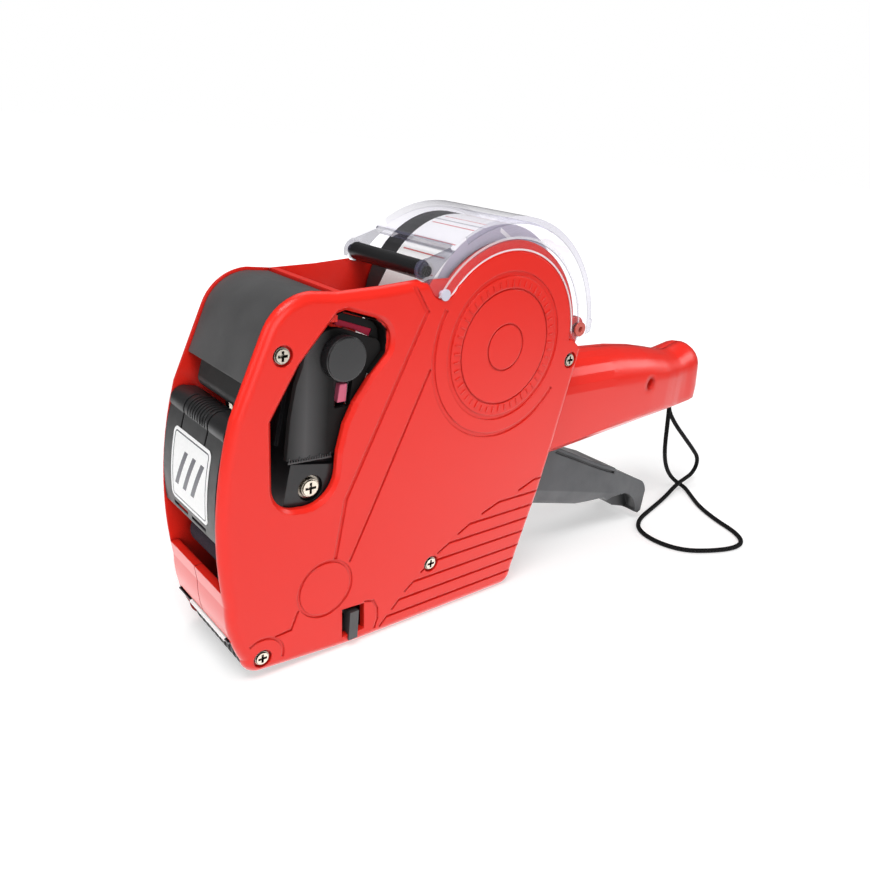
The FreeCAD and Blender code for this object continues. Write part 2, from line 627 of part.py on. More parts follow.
def return_spring():
    x, low, high = SPRING
    wire, coil, turns = 0.65, 4.4, 6
    height = high - low - 2 * wire
    steps = 12 * turns
    sections = []
    for i in range(steps + 1):
        turn = 2 * math.pi * turns * i / steps
        level = low + wire + height * i / steps
        corners = []
        for a in SIXTHS:
            reach = coil + wire * math.cos(a)
            corners.append(Vector(x + reach * math.cos(turn), reach * math.sin(turn), level + wire * math.sin(a)))
        sections.append(Part.makePolygon(corners + corners[:1]))
    return Part.makeLoft(sections, True, True)


def spring_post():
    x, low, _ = SPRING
    foot = Part.makeCylinder(6.2, 2.4, Vector(x, 0, low - 2.4))
    post = Part.makeCylinder(3.0, 6.0, Vector(x, 0, low - 1.0))
    wall = block(x - 1.4, x + 1.4, -INNER, INNER, 2.4, low - 2.4)
    side = block(x - 5.0, x + 5.0, -1.4, 1.4, 2.4, low - 2.4)
    return join([wall, side, foot, post])


def print_head():
    lower = head_block(-6.4, 8.3, 1.6, 17.6, -15.6, 15.6)
    upper = head_block(-6.4, 9.6, 17.5, 42.0, -13.9, 13.9)
    head = join([lower, upper])
    head = head.cut(head_block(-4.6, 8.4, 18.4, 50.0, -11.8, 11.8))
    head = head.cut(head_block(-4.6, 6.2, -5.0, 19.0, -11.8, 11.8))
    ribs = []
    for y in (-13.9, -8.0, 6.6, 12.5):
        ribs.append(head_block(-7.4, -6.2, 20.0, 39.0, y, y + 1.4))
    head = join([head] + ribs)
    cuts = [rod((-63.6, 53.0), 1.52, -16.0, -11.0), rod((-63.6, 53.0), 1.52, 11.0, 16.0)]
    cuts.append(head_block(1.2, 12.0, 31.0, 43.0, -14.5, -11.0))
    cuts += [rod((-63.6, 53.0), 3.7, -16.0, -14.0), rod((-63.6, 53.0), 3.7, 14.0, 16.0)]
    return head.cut(cuts)


def band_hull(top_r, half_foot, foot, y0, y1):
    wheel_c, wheel_a = 2.1, 46.8
    leg = [head_point(-half_foot, foot), head_point(half_foot, foot),
           head_point(wheel_c + top_r, wheel_a), head_point(wheel_c - top_r, wheel_a)]
    return slab(leg, y0, y1).fuse(prism(KNOB, top_r, 10, y0, y1))


def band_starts():
    return [-11.3 + 2.85 * i for i in range(8)]


def digit_bands():
    bands = []
    for y in band_starts():
        outer = band_hull(6.0, 3.6, 0.0, y, y + 2.3)
        bands.append(outer.cut(band_hull(5.0, 2.6, 1.0, y - 1, y + 4)).removeSplitter())
    return group(bands)


def band_wheels():
    wheels = []
    for y in band_starts():
        wheels.append(prism(KNOB, 4.95, 10, y, y + 2.3).cut(prism(KNOB, 2.7, 12, y - 1, y + 4)))
    return group(wheels)


def print_bar():
    bar = head_block(-2.5, 2.5, 1.05, 6.5, -11.8, 11.8)
    ear = head_block(-4.6, 6.2, 7.0, 11.0, -11.8, -11.4)
    posts = [head_block(-2.5, 2.5, 6.0, 11.0, y, y + 0.4) for y in (-11.8, 11.4)]
    return join([bar, ear, flip(ear)] + posts)


def washer_screw(y_seat):
    at = (-63.6, 53.0)
    screw = pan_screw(at, y_seat - 0.5, 2.6, 2.6)
    return join([screw, prism(at, 3.3, 20, y_seat - 0.5, y_seat)])


def head_screws():
    near = washer_screw(-14.0)
    return group([near, flip(near)])


def band_index():
    """Red strip over the bands with its two contact studs."""
    strip = slab([(-56.6, 97.4), (-45.8, 93.9), (-46.5, 92.0), (-51.5, 94.4), (-57.0, 95.9)], -13.8, 13.8)
    return strip.cut(rod(KNOB, 6.6, -20, 20))


# Digit selector
def selector_shaft():
    shaft = rod(KNOB, 2.5, -15.9, 15.4)
    stub = rod(KNOB, 1.5, -18.4, -15.8)
    tail = slab([(-57.6, 87.0), (-56.0, 76.0), (-53.6, 76.0), (-54.6, 87.0)], -13.4, -12.4)
    return join([shaft, stub, tail])


def pointer():
    return slab([(-55.6, 80.4), (-56.2, 75.6), (-53.6, 75.6), (-53.4, 80.4)], -15.3, -13.4)


def selector_knob():
    knob = join([prism(KNOB, 5.6, 36, -19.3, -18.9), prism(KNOB, 5.9, 36, -18.9, -15.95)])
    return knob.cut(rod(KNOB, 1.54, -18.5, -15.0))


# Label cover, roll and feed
COVER_A0 = -1.0
COVER_A1 = 129.0


def cover_wall():
    """Near wall of the clear cover with its rear and front ears."""
    arch = sector(DISC, 28.3, 37.8, COVER_A0 + 6.0, COVER_A1, -HALF, -16.9)
    rear = rod(COVER_PIVOT, 3.7, -HALF, -16.9)
    tail = slab([(28.5, 88.4), (35.2, 86.0), (37.9, 87.0), (38.0, 91.0), (28.6, 91.0)], -HALF, -16.9)
    corner = polar(DISC, 37.8, COVER_A1)
    front = slab([polar(DISC, 28.3, 135.5), polar(DISC, 28.3, 128.0), polar(DISC, 33.0, 126.0), corner,
                  (-31.4, 112.2), ("arc", (-34.6, 110.0), (-34.6, 107.3)), (-32.4, 106.9), (-30.1, 104.3),
                  ("arc", (-25.6, 101.4), (-21.0, 104.7))], -HALF, -16.9)
    boss = rod(GUIDE_BAR, 2.7, -HALF, -15.5)
    return join([arch, rear, tail, front, boss])


def label_cover():
    skin = sector(DISC, 36.3, 37.8, COVER_A0 + 6.0, COVER_A1, -HALF, HALF)
    rib = sector(DISC, 36.0, 38.3, COVER_A1 - 2.0, COVER_A1, -HALF + 1.5, HALF - 1.5)
    wall = cover_wall()
    cover = join([skin, rib, wall, flip(wall)])
    holes = [rod(COVER_PIVOT, 1.56, -20, 20), rod(GUIDE_BAR, 1.52, -17.6, 17.6), rod(SNAP, 1.02, -20, 20)]
    return cover.cut(holes)


def cover_rivets():
    rivet = join([prism(SNAP, 1.0, 12, -18.4, -16.9), prism(SNAP, 1.6, 16, -18.9, -18.4)])
    return group([rivet, flip(rivet)])


def cover_hinge_pin():
    pin = rod(COVER_PIVOT, 1.5, -18.5, 18.5)
    heads = [rod(COVER_PIVOT, 2.3, -19.0, -18.45), rod(COVER_PIVOT, 2.3, 18.45, 19.0)]
    return join([pin] + heads).cut([rod(COVER_PIVOT, 0.9, -19.5, -17.8), rod(COVER_PIVOT, 0.9, 17.8, 19.5)])


def guide_axle():
    return rod(GUIDE_BAR, 1.5, -17.6, 17.6)


def guide_bar():
    return tube(GUIDE_BAR, 2.5, 1.56, -15.3, 15.3)


def label_roll():
    return tube(ROLL, ROLL_R, 12.4, WEB_Y[0], WEB_Y[1])


def roll_hub():
    """Core with the wide black flange that fills the far side of the roll space."""
    flange = prism(ROLL, ROLL_R, 60, 7.7, 15.3)
    flange = flange.cut(prism(ROLL, ROLL_R - 1.8, 60, 9.5, 16.0).cut(prism(ROLL, 13.6, 60, 9.0, 16.5)))
    spokes = []
    for i in range(6):
        arm = block(13.0, ROLL_R - 1.0, -0.7, 0.7, 0.0, 5.6)
        arm.rotate(Vector(0, 0, 0), Vector(1, 0, 0), -90)
        arm.rotate(Vector(0, 0, 0), Vector(0, 1, 0), 60 * i)
        arm.translate(put(ROLL[0], ROLL[1], 9.4))
        spokes.append(arm)
    core = prism(ROLL, 12.3, 40, -13.6, 15.3).cut(prism(ROLL, 10.4, 40, -14.0, 16.0))
    web = prism(ROLL, 11.0, 40, -0.8, 0.8)
    axle = rod(ROLL, 3.0, -16.1, 16.1)
    return join([flange, core, web, axle] + spokes)


def feed_shaft():
    return rod(FEED, 2.0, -17.2, 17.2)


def feed_wheel():
    """Grip wheel with ratchet teeth at its far end."""
    wheel = prism(FEED, FEED_R, 24, -12.6, 8.6).cut(rod(FEED, 2.05, -13.0, 9.0))
    teeth = 12
    points = []
    for i in range(teeth):
        points.append(polar(FEED, 7.3, i * 360 / teeth))
        points.append(polar(FEED, 5.8, (i + 0.92) * 360 / teeth))
    ratchet = slab(points, 8.6, 11.2).cut(rod(FEED, 2.05, 0, 20))
    return join([wheel, ratchet])


def feed_pawl():
    """Sprung click that stops the feed wheel from turning back."""
    return slab([(-24.2, 30.6), (-22.4, 30.6), (-22.4, 22.1), (-20.0, 22.1), (-20.0, 32.2), (-23.0, 33.4),
                 (-28.0, 29.6), (-28.8, 26.9), (-27.6, 27.0)], 9.0, 11.0)


def pinch_axle():
    return rod(PINCH, 1.5, -17.2, 17.2)


def pinch_roller():
    return tube(PINCH, PINCH_R, 1.55, -13.8, 8.6)


# Bottom cover and latch
def bottom_cover():
    plate = slab([(-71.3, 1.6), (-50.0, 0.1), (-44.0, 0.1), (-44.0, 2.1), (-50.0, 2.1), (-71.3, 3.6)],
                 -15.7, 15.7)
    plate = plate.cut([rod(BOTTOM_HINGE, 2.4, -20, 20), block(-73, -66.5, -16, -13.9, 0, 5),
                       block(-73, -66.5, 13.9, 16, 0, 5)])
    pieces = [plate]
    for y0 in (-13.9, -4.0, 5.9):
        pieces.append(rod(BOTTOM_HINGE, 2.1, y0, y0 + 8.0))
        pieces.append(block(-69.5, -66.4, y0, y0 + 8.0, 2.3, 3.6))
    for y in (-9.0, 7.6):
        pieces.append(block(-56.4, -54.9, y, y + 1.4, 1.6, 7.6))
    for y in (-11.0, -0.7, 9.6):
        pieces.append(block(-66.0, -46.0, y, y + 1.4, 1.6, 3.4))
    cover = join(pieces)
    return cover.cut(rod(BOTTOM_HINGE, 1.05, -20, 20))


def bottom_hinge_pin():
    return rod(BOTTOM_HINGE, 1.0, -17.0, 17.0)


def cover_latch():
    bar = block(-51.2, -48.2, -16.2, 16.2, 4.6, 8.4)
    grip = join([block(-51.2, -48.2, -18.7, -16.1, 4.5, 12.0), block(-51.2, -48.2, -19.3, -18.6, 2.6, 12.0)])
    return join([bar, grip, flip(grip)])


# Ink roller
def ink_arm():
    """Sprung swing frame of bent plate that carries the ink roller."""
    x, z = INK_PIVOT
    side = slab([(x - 2.4, z + 2.6), (x + 2.4, z + 2.6), (x + 2.4, z - 4.0), (INK[0] + 2.2, INK[1] - 1.0),
                 ("arc", (INK[0], INK[1] - 2.8), (INK[0] - 2.4, INK[1] - 1.0)), (x - 2.6, z - 4.0)],
                -12.6, -11.6)
    side = side.cut(rod(INK, 1.22, -20, 20))
    rods = [rod(INK_PIVOT, 1.5, -17.1, 17.1)]
    bridge = block(x - 2.4, x + 2.4, -12.6, 12.6, z + 1.8, z + 2.6)
    return join([side, flip(side), bridge] + rods)


def ink_axle():
    return rod(INK, 1.2, -12.6, 12.6)


def ink_roller():
    return tube(INK, 5.2, 1.25, -11.2, 11.2)


# Wrist strap
STRAP_R = 0.9
STRAP_SIDES = 8
STRAP_TURN = 14.0
STRAP = [(118.8, -0.95, 52.2), (121.4, -0.85, 38.5), (124.9, 0.0, 22.0), (130.4, 1.2, 12.8), (136.8, 1.8, 6.2),
         (141.9, 1.0, 2.3), (143.0, -3.0, 1.0), (138.6, -8.6, 1.0), (130.8, -18.6, 1.0), (125.6, -30.4, 1.0),
         (123.0, -40.6, 1.0), (117.8, -47.4, 1.0), (109.6, -48.3, 1.0), (99.0, -44.4, 1.0), (89.6, -38.4, 1.0),
         (85.9, -28.6, 1.0), (87.8, -18.6, 1.0), (95.8, -12.6, 1.0), (109.4, -9.0, 1.0), (124.0, -5.2, 1.0),
         (136.2, -2.7, 4.0), (145.2, -1.1, 4.3), (151.4, 0.0, 4.6), (155.4, 0.6, 7.6), (154.9, 0.6, 12.2),
         (149.6, 0.6, 17.0), (140.4, 0.7, 24.6), (129.8, 0.9, 33.4), (122.4, 1.0, 41.6), (118.9, 1.0, 52.2)]


def strap_bends(points):
    """Radius of the rounding at each inner point, from the shorter run and the turn."""
    radii = []
    for a, b, c in zip(points, points[1:], points[2:]):
        before = Vector(*b).sub(Vector(*a))
        after = Vector(*c).sub(Vector(*b))
        turn = before.getAngle(after)
        shorter = min(before.Length, after.Length)
        radii.append((0.45 * shorter / math.tan(turn / 2), math.degrees(turn), before.Length))
    return radii


def strap_path():
    """Points along the rounded route of the strap, close together in its bends."""
    path = [Vector(*STRAP[0])]
    for (a, b, c), (radius, turn, _) in zip(zip(STRAP, STRAP[1:], STRAP[2:]), strap_bends(STRAP)):
        a, b, c = Vector(*a), Vector(*b), Vector(*c)
        into = b.sub(a).normalize()
        away = c.sub(b).normalize()
        half = math.radians(turn) / 2
        start = b - into * (radius * math.tan(half))
        inward = (away - into).normalize()
        hub = b + inward * (radius / math.cos(half))
        arm = start - hub
        steps = max(2, round(turn / STRAP_TURN))
        for i in range(steps + 1):
            a = 2 * half * i / steps
            path.append(hub + arm * math.cos(a) + into * (radius * math.sin(a)))
    path.append(Vector(*STRAP[-1]))
    return path


def wrist_strap():
    """Cord with eight flat sides along the path, its sections carried on without twist."""
    path = strap_path()
    across = path[1].sub(path[0]).cross(Vector(0, 1, 0)).normalize()
    sections = []
    for i, at in enumerate(path):
        before = at.sub(path[i - 1]).normalize() if i else path[1].sub(path[0]).normalize()
        after = path[i + 1].sub(at).normalize() if i < len(path) - 1 else before
        ahead = (before + after).normalize()
        across = (across - ahead * across.dot(ahead)).normalize()
        over = ahead.cross(across)
        ring = []
        for k in range(STRAP_SIDES):
            a = 2 * math.pi * k / STRAP_SIDES
            ring.append(at + across * (STRAP_R * math.cos(a)) + over * (STRAP_R * math.sin(a)))
        sections.append(Part.makePolygon(ring + ring[:1]))
    return Part.makeLoft(sections, True, True)


def strap_pin():
    return rod(STRAP_PIN, 1.5, -8.6, 8.6)


NODES = {
    "case_near": case_near,
    "case_far": case_far,
    "case_screws": case_screws,
    "top_cap": top_cap,
    "front_cover": front_cover,
    "cover_clip": cover_clip,
    "front_cover_pin": front_cover_pin,
    "platen_block": platen_block,
    "platen_pad": platen_pad,
    "peel_plate": peel_plate,
    "web_guide_pins": web_guide_pins,
    "label_web": label_web,
    "applicator_axle": applicator_axle,
    "applicator_roller": applicator_roller,
    "hand_lever": hand_lever,
    "lever_shaft": lever_shaft,
    "yoke_near": yoke_near,
    "yoke_far": yoke_far,
    "yoke_bar": yoke_bar,
    "return_spring": return_spring,
    "spring_post": spring_post,
    "print_head": print_head,
    "digit_bands": digit_bands,
    "band_wheels": band_wheels,
    "print_bar": print_bar,
    "head_screws": head_screws,
    "band_index": band_index,
    "selector_shaft": selector_shaft,
    "selector_pointer": pointer,
    "selector_knob": selector_knob,
    "label_cover": label_cover,
    "cover_rivets": cover_rivets,
    "cover_hinge_pin": cover_hinge_pin,
    "guide_axle": guide_axle,
    "guide_bar": guide_bar,
    "label_roll": label_roll,
    "roll_hub": roll_hub,
    "feed_shaft": feed_shaft,
    "feed_wheel": feed_wheel,
    "feed_pawl": feed_pawl,
    "pinch_axle": pinch_axle,
    "pinch_roller": pinch_roller,
    "bottom_cover": bottom_cover,
    "bottom_hinge_pin": bottom_hinge_pin,
    "cover_latch": cover_latch,
    "ink_arm": ink_arm,
    "ink_axle": ink_axle,
    "ink_roller": ink_roller,
    "strap_pin": strap_pin,
    "wrist_strap": wrist_strap,
}


def write(name, shape):
    shape.translate(Vector(-MID_X, -MID_Y, 0))
    box = shape.BoundBox
    print("%-18s %6d faces valid %s solids %d  x %.1f %.1f  y %.1f %.1f  z %.1f %.1f" % (
        name, len(shape.Faces), shape.isValid(), len(shape.Solids),
        box.XMin, box.XMax, box.YMin, box.YMax, box.ZMin, box.ZMax))
    shape.exportStep("parts/%s.step" % name)


for name, build in NODES.items():
    write(name, build())

for number, (radius, turn, run) in enumerate(strap_bends(STRAP), 1):
    print("strap bend %2d radius %5.1f mm turn %5.1f run %5.1f" % (number, radius, turn, run))
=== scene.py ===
import bmesh
import bpy
import math
from mathutils import Matrix, Vector


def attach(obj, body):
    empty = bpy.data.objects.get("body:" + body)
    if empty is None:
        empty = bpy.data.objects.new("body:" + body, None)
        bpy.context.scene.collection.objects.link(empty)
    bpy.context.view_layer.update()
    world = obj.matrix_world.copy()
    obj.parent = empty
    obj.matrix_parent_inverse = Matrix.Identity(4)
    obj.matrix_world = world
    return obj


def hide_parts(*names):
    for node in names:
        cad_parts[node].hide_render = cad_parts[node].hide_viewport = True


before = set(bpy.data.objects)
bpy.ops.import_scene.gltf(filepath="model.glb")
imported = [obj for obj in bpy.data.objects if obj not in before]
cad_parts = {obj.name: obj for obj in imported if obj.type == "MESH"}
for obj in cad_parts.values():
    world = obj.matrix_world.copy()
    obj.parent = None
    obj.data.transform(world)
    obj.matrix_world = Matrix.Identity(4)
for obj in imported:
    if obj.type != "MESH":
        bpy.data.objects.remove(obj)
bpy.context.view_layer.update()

MM = 0.001

# The drawing places in part.py are measured along X from the middle of the label disc,
# and this shift takes them to the frame.
MID_X = 18.8

# Places as (x, z) and the plane of the near side, in drawing millimetres
DISC = (0.0, 85.4)
LABEL_ROLL = (-1.2, 93.6)
SIDE_Y = -18.4


def place(x, z, y=0.0):
    """Point of the frame in metres from a drawing place in millimetres."""
    return Vector(((x - MID_X) * MM, y * MM, z * MM))


# Camera
AZIMUTH = math.radians(-41.22545)
ELEVATION = math.radians(21.001)
ROLL = math.radians(5.27739)
CAMERA_AT = (-0.18363, -0.17863, 0.14380)
LENS = 32.949
SENSOR = 36.0
NEAREST = 0.01


def add_camera():
    back = Vector((math.sin(AZIMUTH) * math.cos(ELEVATION), -math.cos(AZIMUTH) * math.cos(ELEVATION),
                   math.sin(ELEVATION)))
    level = Vector((0, 0, 1)).cross(back).normalized()
    upright = back.cross(level)
    right = level * math.cos(ROLL) + upright * math.sin(ROLL)
    up = upright * math.cos(ROLL) - level * math.sin(ROLL)
    camera = bpy.data.objects.new("camera", bpy.data.cameras.new("camera"))
    bpy.context.scene.collection.objects.link(camera)
    turn = Matrix((right, up, back)).transposed().to_4x4()
    camera.matrix_world = Matrix.Translation(Vector(CAMERA_AT)) @ turn
    camera.data.lens = LENS
    camera.data.sensor_width = SENSOR
    camera.data.clip_start = NEAREST
    bpy.context.scene.camera = camera


# Material helpers
def new_shader(name, rough=0.5, **constants):
    material = bpy.data.materials.new(name)
    material.use_nodes = True
    tree = material.node_tree
    shader = tree.nodes["Principled BSDF"]
    shader.inputs["Roughness"].default_value = rough
    for socket, value in constants.items():
        shader.inputs[socket.replace("_", " ")].default_value = value
    return material, tree, shader


def node(tree, kind, **settings):
    made = tree.nodes.new(kind)
    for name, value in settings.items():
        setattr(made, name, value)
    return made


def noise(tree, size, detail=2.0, rough=0.5):
    """Noise over the object's own coordinates whose features are about size metres."""
    coords = node(tree, "ShaderNodeTexCoord")
    made = node(tree, "ShaderNodeTexNoise")
    made.inputs["Scale"].default_value = 1.0 / size
    made.inputs["Detail"].default_value = detail
    made.inputs["Roughness"].default_value = rough
    tree.links.new(coords.outputs["Object"], made.inputs["Vector"])
    return made.outputs["Fac"]


def ramp(tree, value, low, high, at=(0.35, 0.65)):
    """Colour or grey ramp between two stops."""
    made = node(tree, "ShaderNodeValToRGB")
    stops = made.color_ramp.elements
    for stop, place_at, colour in zip(stops, at, (low, high)):
        stop.position = place_at
        stop.color = (*colour, 1.0) if hasattr(colour, "__len__") else (colour, colour, colour, 1.0)
    tree.links.new(value, made.inputs["Fac"])
    return made.outputs["Color"]


def math_node(tree, operation, first, second=None):
    made = node(tree, "ShaderNodeMath", operation=operation)
    for socket, value in zip(made.inputs, (first, second)):
        if value is None:
            continue
        if isinstance(value, (int, float)):
            socket.default_value = value
        else:
            tree.links.new(value, socket)
    return made.outputs["Value"]


def object_axes(tree):
    coords = node(tree, "ShaderNodeTexCoord")
    parts = node(tree, "ShaderNodeSeparateXYZ")
    tree.links.new(coords.outputs["Object"], parts.inputs["Vector"])
    return parts.outputs["X"], parts.outputs["Y"], parts.outputs["Z"]


def offsets_from(tree, centre):
    """Distances along X and Z from a drawing place, and the place across the object."""
    x, y, z = object_axes(tree)
    at = place(*centre)
    return math_node(tree, "SUBTRACT", x, at.x), math_node(tree, "SUBTRACT", z, at.z), y


def sum_of_squares(tree, first, second):
    return math_node(tree, "ADD", math_node(tree, "MULTIPLY", first, first),
                     math_node(tree, "MULTIPLY", second, second))


def disc_polar(tree):
    """Distance and direction from the disc's axis, and the place across the object."""
    dx, dz, y = offsets_from(tree, DISC)
    reach = math_node(tree, "SQRT", sum_of_squares(tree, dx, dz))
    return reach, math_node(tree, "ARCTAN2", dz, dx), y


def between(tree, value, low, high):
    """One where the value lies between two limits, and otherwise zero."""
    return math_node(tree, "MULTIPLY", math_node(tree, "GREATER_THAN", value, low),
                     math_node(tree, "LESS_THAN", value, high))


def run_between(tree, value, from_limits, to_limits):
    """Value that runs from one limit to the other and stays there."""
    made = node(tree, "ShaderNodeMapRange")
    tree.links.new(value, made.inputs["Value"])
    for socket, limit in zip(("From Min", "From Max", "To Min", "To Max"), from_limits + to_limits):
        made.inputs[socket].default_value = limit
    return made.outputs["Result"]


def mix_colour(tree, share, first, second):
    made = node(tree, "ShaderNodeMix", data_type="RGBA")
    tree.links.new(share, made.inputs["Factor"])
    for socket, value in ((made.inputs["A"], first), (made.inputs["B"], second)):
        if isinstance(value, tuple):
            socket.default_value = (*value, 1.0)
        else:
            tree.links.new(value, socket)
    return made.outputs["Result"]


def mix_shaders(tree, share, first, second):
    made = node(tree, "ShaderNodeMixShader")
    tree.links.new(share, made.inputs["Fac"])
    tree.links.new(first, made.inputs[1])
    tree.links.new(second, made.inputs[2])
    return made.outputs["Shader"]


def rounded_edges(tree, radius):
    """Normal that looks rounded where moulded walls meet."""
    made = node(tree, "ShaderNodeBevel", samples=4)
    made.inputs["Radius"].default_value = radius
    return made.outputs["Normal"]


def hollow(tree, reach, low, high):
    """Ambient occlusion share used to paint shade: zero deep inside hollows of about this reach in metres,
    and one on open faces.
    """
    made = node(tree, "ShaderNodeAmbientOcclusion", samples=8)
    made.inputs["Distance"].default_value = reach
    return ramp(tree, made.outputs["AO"], 0.0, 1.0, (low, high))


def bump(tree, shader, height, depth, strength=1.0, under=None):
    made = node(tree, "ShaderNodeBump")
    made.inputs["Distance"].default_value = depth
    made.inputs["Strength"].default_value = strength
    tree.links.new(height, made.inputs["Height"])
    if under is not None:
        tree.links.new(under, made.inputs["Normal"])
    tree.links.new(made.outputs["Normal"], shader.inputs["Normal"])


# Moulded plastics
BLACK = (0.020, 0.020, 0.021)
BLACK_PALE = (0.034, 0.034, 0.036)
# How far the painted shade in hollows fades out, and how dark it is against the plastic's own colour
SHADE_SPAN = 0.47
SHADE_TONE = 0.12

# Sizes of the colour drift and the uneven polish, and how far roughness runs below and above its middle
DRIFT_SIZE = 0.03
POLISH_SIZE = 0.006
SMOOTHER = 0.05
DULLER = 0.06

# Size and depth of the grain in metres, and the radius of rounded edges where it isn't the usual one
TEXTURED = (0.00035, 0.00003)
POLISHED = (0.0006, 0.00001)
LEVER_GRAIN = (0.00045, 0.00003, 0.0006)
RUBBER_GRAIN = (0.0003, 0.00003, 0.0001)


def moulded(name, dark, light, rough, grain, depth, edge=0.0003, shade=0.0, open_at=0.62, **constants):
    """Injection moulded plastic: faint colour drift, painted shade in hollows, fine grain, uneven polish,
    soft edges.
    """
    material, tree, shader = new_shader(name, rough, **constants)
    drift = noise(tree, DRIFT_SIZE, 3.0)
    colour = ramp(tree, drift, dark, light)
    # Painted shade: darker colour deep in hollows found by ambient occlusion
    if shade:
        open_share = hollow(tree, shade, open_at - SHADE_SPAN, open_at)
        colour = mix_colour(tree, open_share, tuple(c * SHADE_TONE for c in dark), colour)
    tree.links.new(colour, shader.inputs["Base Color"])
    polish = noise(tree, POLISH_SIZE, 4.0, 0.6)
    tree.links.new(ramp(tree, polish, rough - SMOOTHER, rough + DULLER), shader.inputs["Roughness"])
    fine = noise(tree, grain, 2.0, 0.6)
    bump(tree, shader, fine, depth, 0.5, rounded_edges(tree, edge))
    return material


def overlay(material, share_of, colour):
    """Mixes a colour over the base colour by a share worked out from the place on the object."""
    tree = material.node_tree
    socket = tree.nodes["Principled BSDF"].inputs["Base Color"]
    under = socket.links[0].from_socket
    tree.links.new(mix_colour(tree, share_of(tree), under, colour), socket)
    return material


# Height of the cap's lower edge, below which shade is painted, and the middle and half width of the gleam on
# the head's side plate
CAP_EDGE = place(0.0, 83.7).z
PLATE_GLEAM = place(-65.6, 0.0).x
GLEAM_WIDTH = 0.0065


def under_cap(tree):
    """One below the lower edge of the cap, inside the nose opening, where shade is painted."""
    x, y, z = object_axes(tree)
    return math_node(tree, "LESS_THAN", z, CAP_EDGE)


def plate_gleam(tree):
    """Soft upright band where the head's side plate catches the light."""
    x, y, z = object_axes(tree)
    away = math_node(tree, "ABSOLUTE", math_node(tree, "SUBTRACT", x, PLATE_GLEAM))
    share = math_node(tree, "SUBTRACT", 1.0, math_node(tree, "DIVIDE", away, GLEAM_WIDTH))
    return math_node(tree, "MAXIMUM", share, 0.0)


# Red plastic of the case
RED = (0.775, 0.020, 0.011)
RED_PALE = (0.815, 0.024, 0.014)
SEAM_RED = (0.30, 0.008, 0.006)
# Painted shade: deeper red in grooves and under the clear cover, and near black red inside the case
GROOVE_SHADE_RED = (0.60, 0.012, 0.008)
INSIDE_SHADE_RED = (0.14, 0.001, 0.002)
CASE_DRIFT_SIZE = 0.09
PARTING = 0.00016
PARTING_DEPTH = 0.00008
INNER_WALL = 0.0163
HANDLE_FROM = place(64.0, 0.0).x
CASE_EDGE = 0.0005
HANDLE_EDGE = 0.0030

# Hollows that get painted shade: their reach in metres, and the openness up to which they are dark and from
# which they are open
GROOVES = (0.0014, 0.30, 0.80)
ROOMS = (0.022, 0.12, 0.55)

# Part of the side under the clear cover, painted darker as shade, as metres and radians round the disc's
# axis
COVERED_REACH = (0.0272, 0.0410)
COVERED_ANGLE = (-0.5, 2.6)


def shell_colour(tree, seam, x):
    """Red that is darker at the parting line, with painted shade in grooves, under the clear cover and
    inside the case.
    """
    drift = noise(tree, CASE_DRIFT_SIZE, 0.0)
    colour = ramp(tree, drift, RED, RED_PALE, (0.0, 1.0))
    colour = mix_colour(tree, seam, SEAM_RED, colour)
    reach, angle, y = disc_polar(tree)
    covered = math_node(tree, "MULTIPLY", between(tree, reach, *COVERED_REACH),
                        between(tree, angle, *COVERED_ANGLE))
    groove = math_node(tree, "MAXIMUM", hollow(tree, *GROOVES), covered)
    colour = mix_colour(tree, groove, GROOVE_SHADE_RED, colour)
    outer = math_node(tree, "GREATER_THAN", math_node(tree, "ABSOLUTE", y), INNER_WALL)
    lit = math_node(tree, "MAXIMUM", hollow(tree, *ROOMS), outer)
    lit = math_node(tree, "MAXIMUM", lit, math_node(tree, "GREATER_THAN", x, HANDLE_FROM))
    return mix_colour(tree, lit, INSIDE_SHADE_RED, colour)


def shell_plastic():
    """Glossy red plastic of the case, with the fine parting line between its halves."""
    material, tree, shader = new_shader("red_shell", 0.28, Specular_IOR_Level=0.30)
    x, y, z = object_axes(tree)
    beside = math_node(tree, "DIVIDE", math_node(tree, "ABSOLUTE", y), PARTING)
    seam = math_node(tree, "MINIMUM", beside, 1.0)
    tree.links.new(shell_colour(tree, seam, x), shader.inputs["Base Color"])
    soft = node(tree, "ShaderNodeMix", data_type="VECTOR")
    tree.links.new(math_node(tree, "GREATER_THAN", x, HANDLE_FROM), soft.inputs["Factor"])
    tree.links.new(rounded_edges(tree, CASE_EDGE), soft.inputs["A"])
    tree.links.new(rounded_edges(tree, HANDLE_EDGE), soft.inputs["B"])
    bump(tree, shader, seam, PARTING_DEPTH, 0.6, soft.outputs["Result"])
    return material


# Clear plastic of the label cover
CLEAR_TINT = (0.985, 0.98, 0.995, 1.0)
GLOSS_TINT = (0.95, 0.95, 1.0, 1.0)
PALE = (0.90, 0.90, 0.94)
LAVENDER = (0.38, 0.36, 0.48)
SLATE = (0.16, 0.15, 0.21)
RIB_SLATE = (0.10, 0.10, 0.16)

# Rings of the cover's side walls painted with pale highlight lines and slate and lavender shade lines that
# stand in for light bent at the cut edges: inner and outer reach, colour and share
COVER_RINGS = ((0.0200, 0.0288, PALE, 0.80), (0.0312, 0.0315, SLATE, 0.60),
               (0.0315, 0.0322, PALE, 0.55), (0.0356, 0.0360, SLATE, 0.50),
               (0.0360, 0.0384, LAVENDER, 0.42), (0.0384, 0.0400, SLATE, 0.60))
COVER_IOR = 1.5
CLEAR_SHARE = 0.02
EDGE_BLEND = 0.2
EDGE_POWER = 3.0
EDGE_SHARE = 0.14

# Where the side walls begin, how much less the far one shows, and the place and share of the painted shade
# line on the front rib
SIDE_WALL = 0.0182
FAR_LOSS = 0.6
RINGS_END = math.radians(122.0)
RIB_FROM = math.radians(127.7)
RIB_REACH = 0.0358
RIB_HALF = 0.0170
RIB_SHARE = 0.55


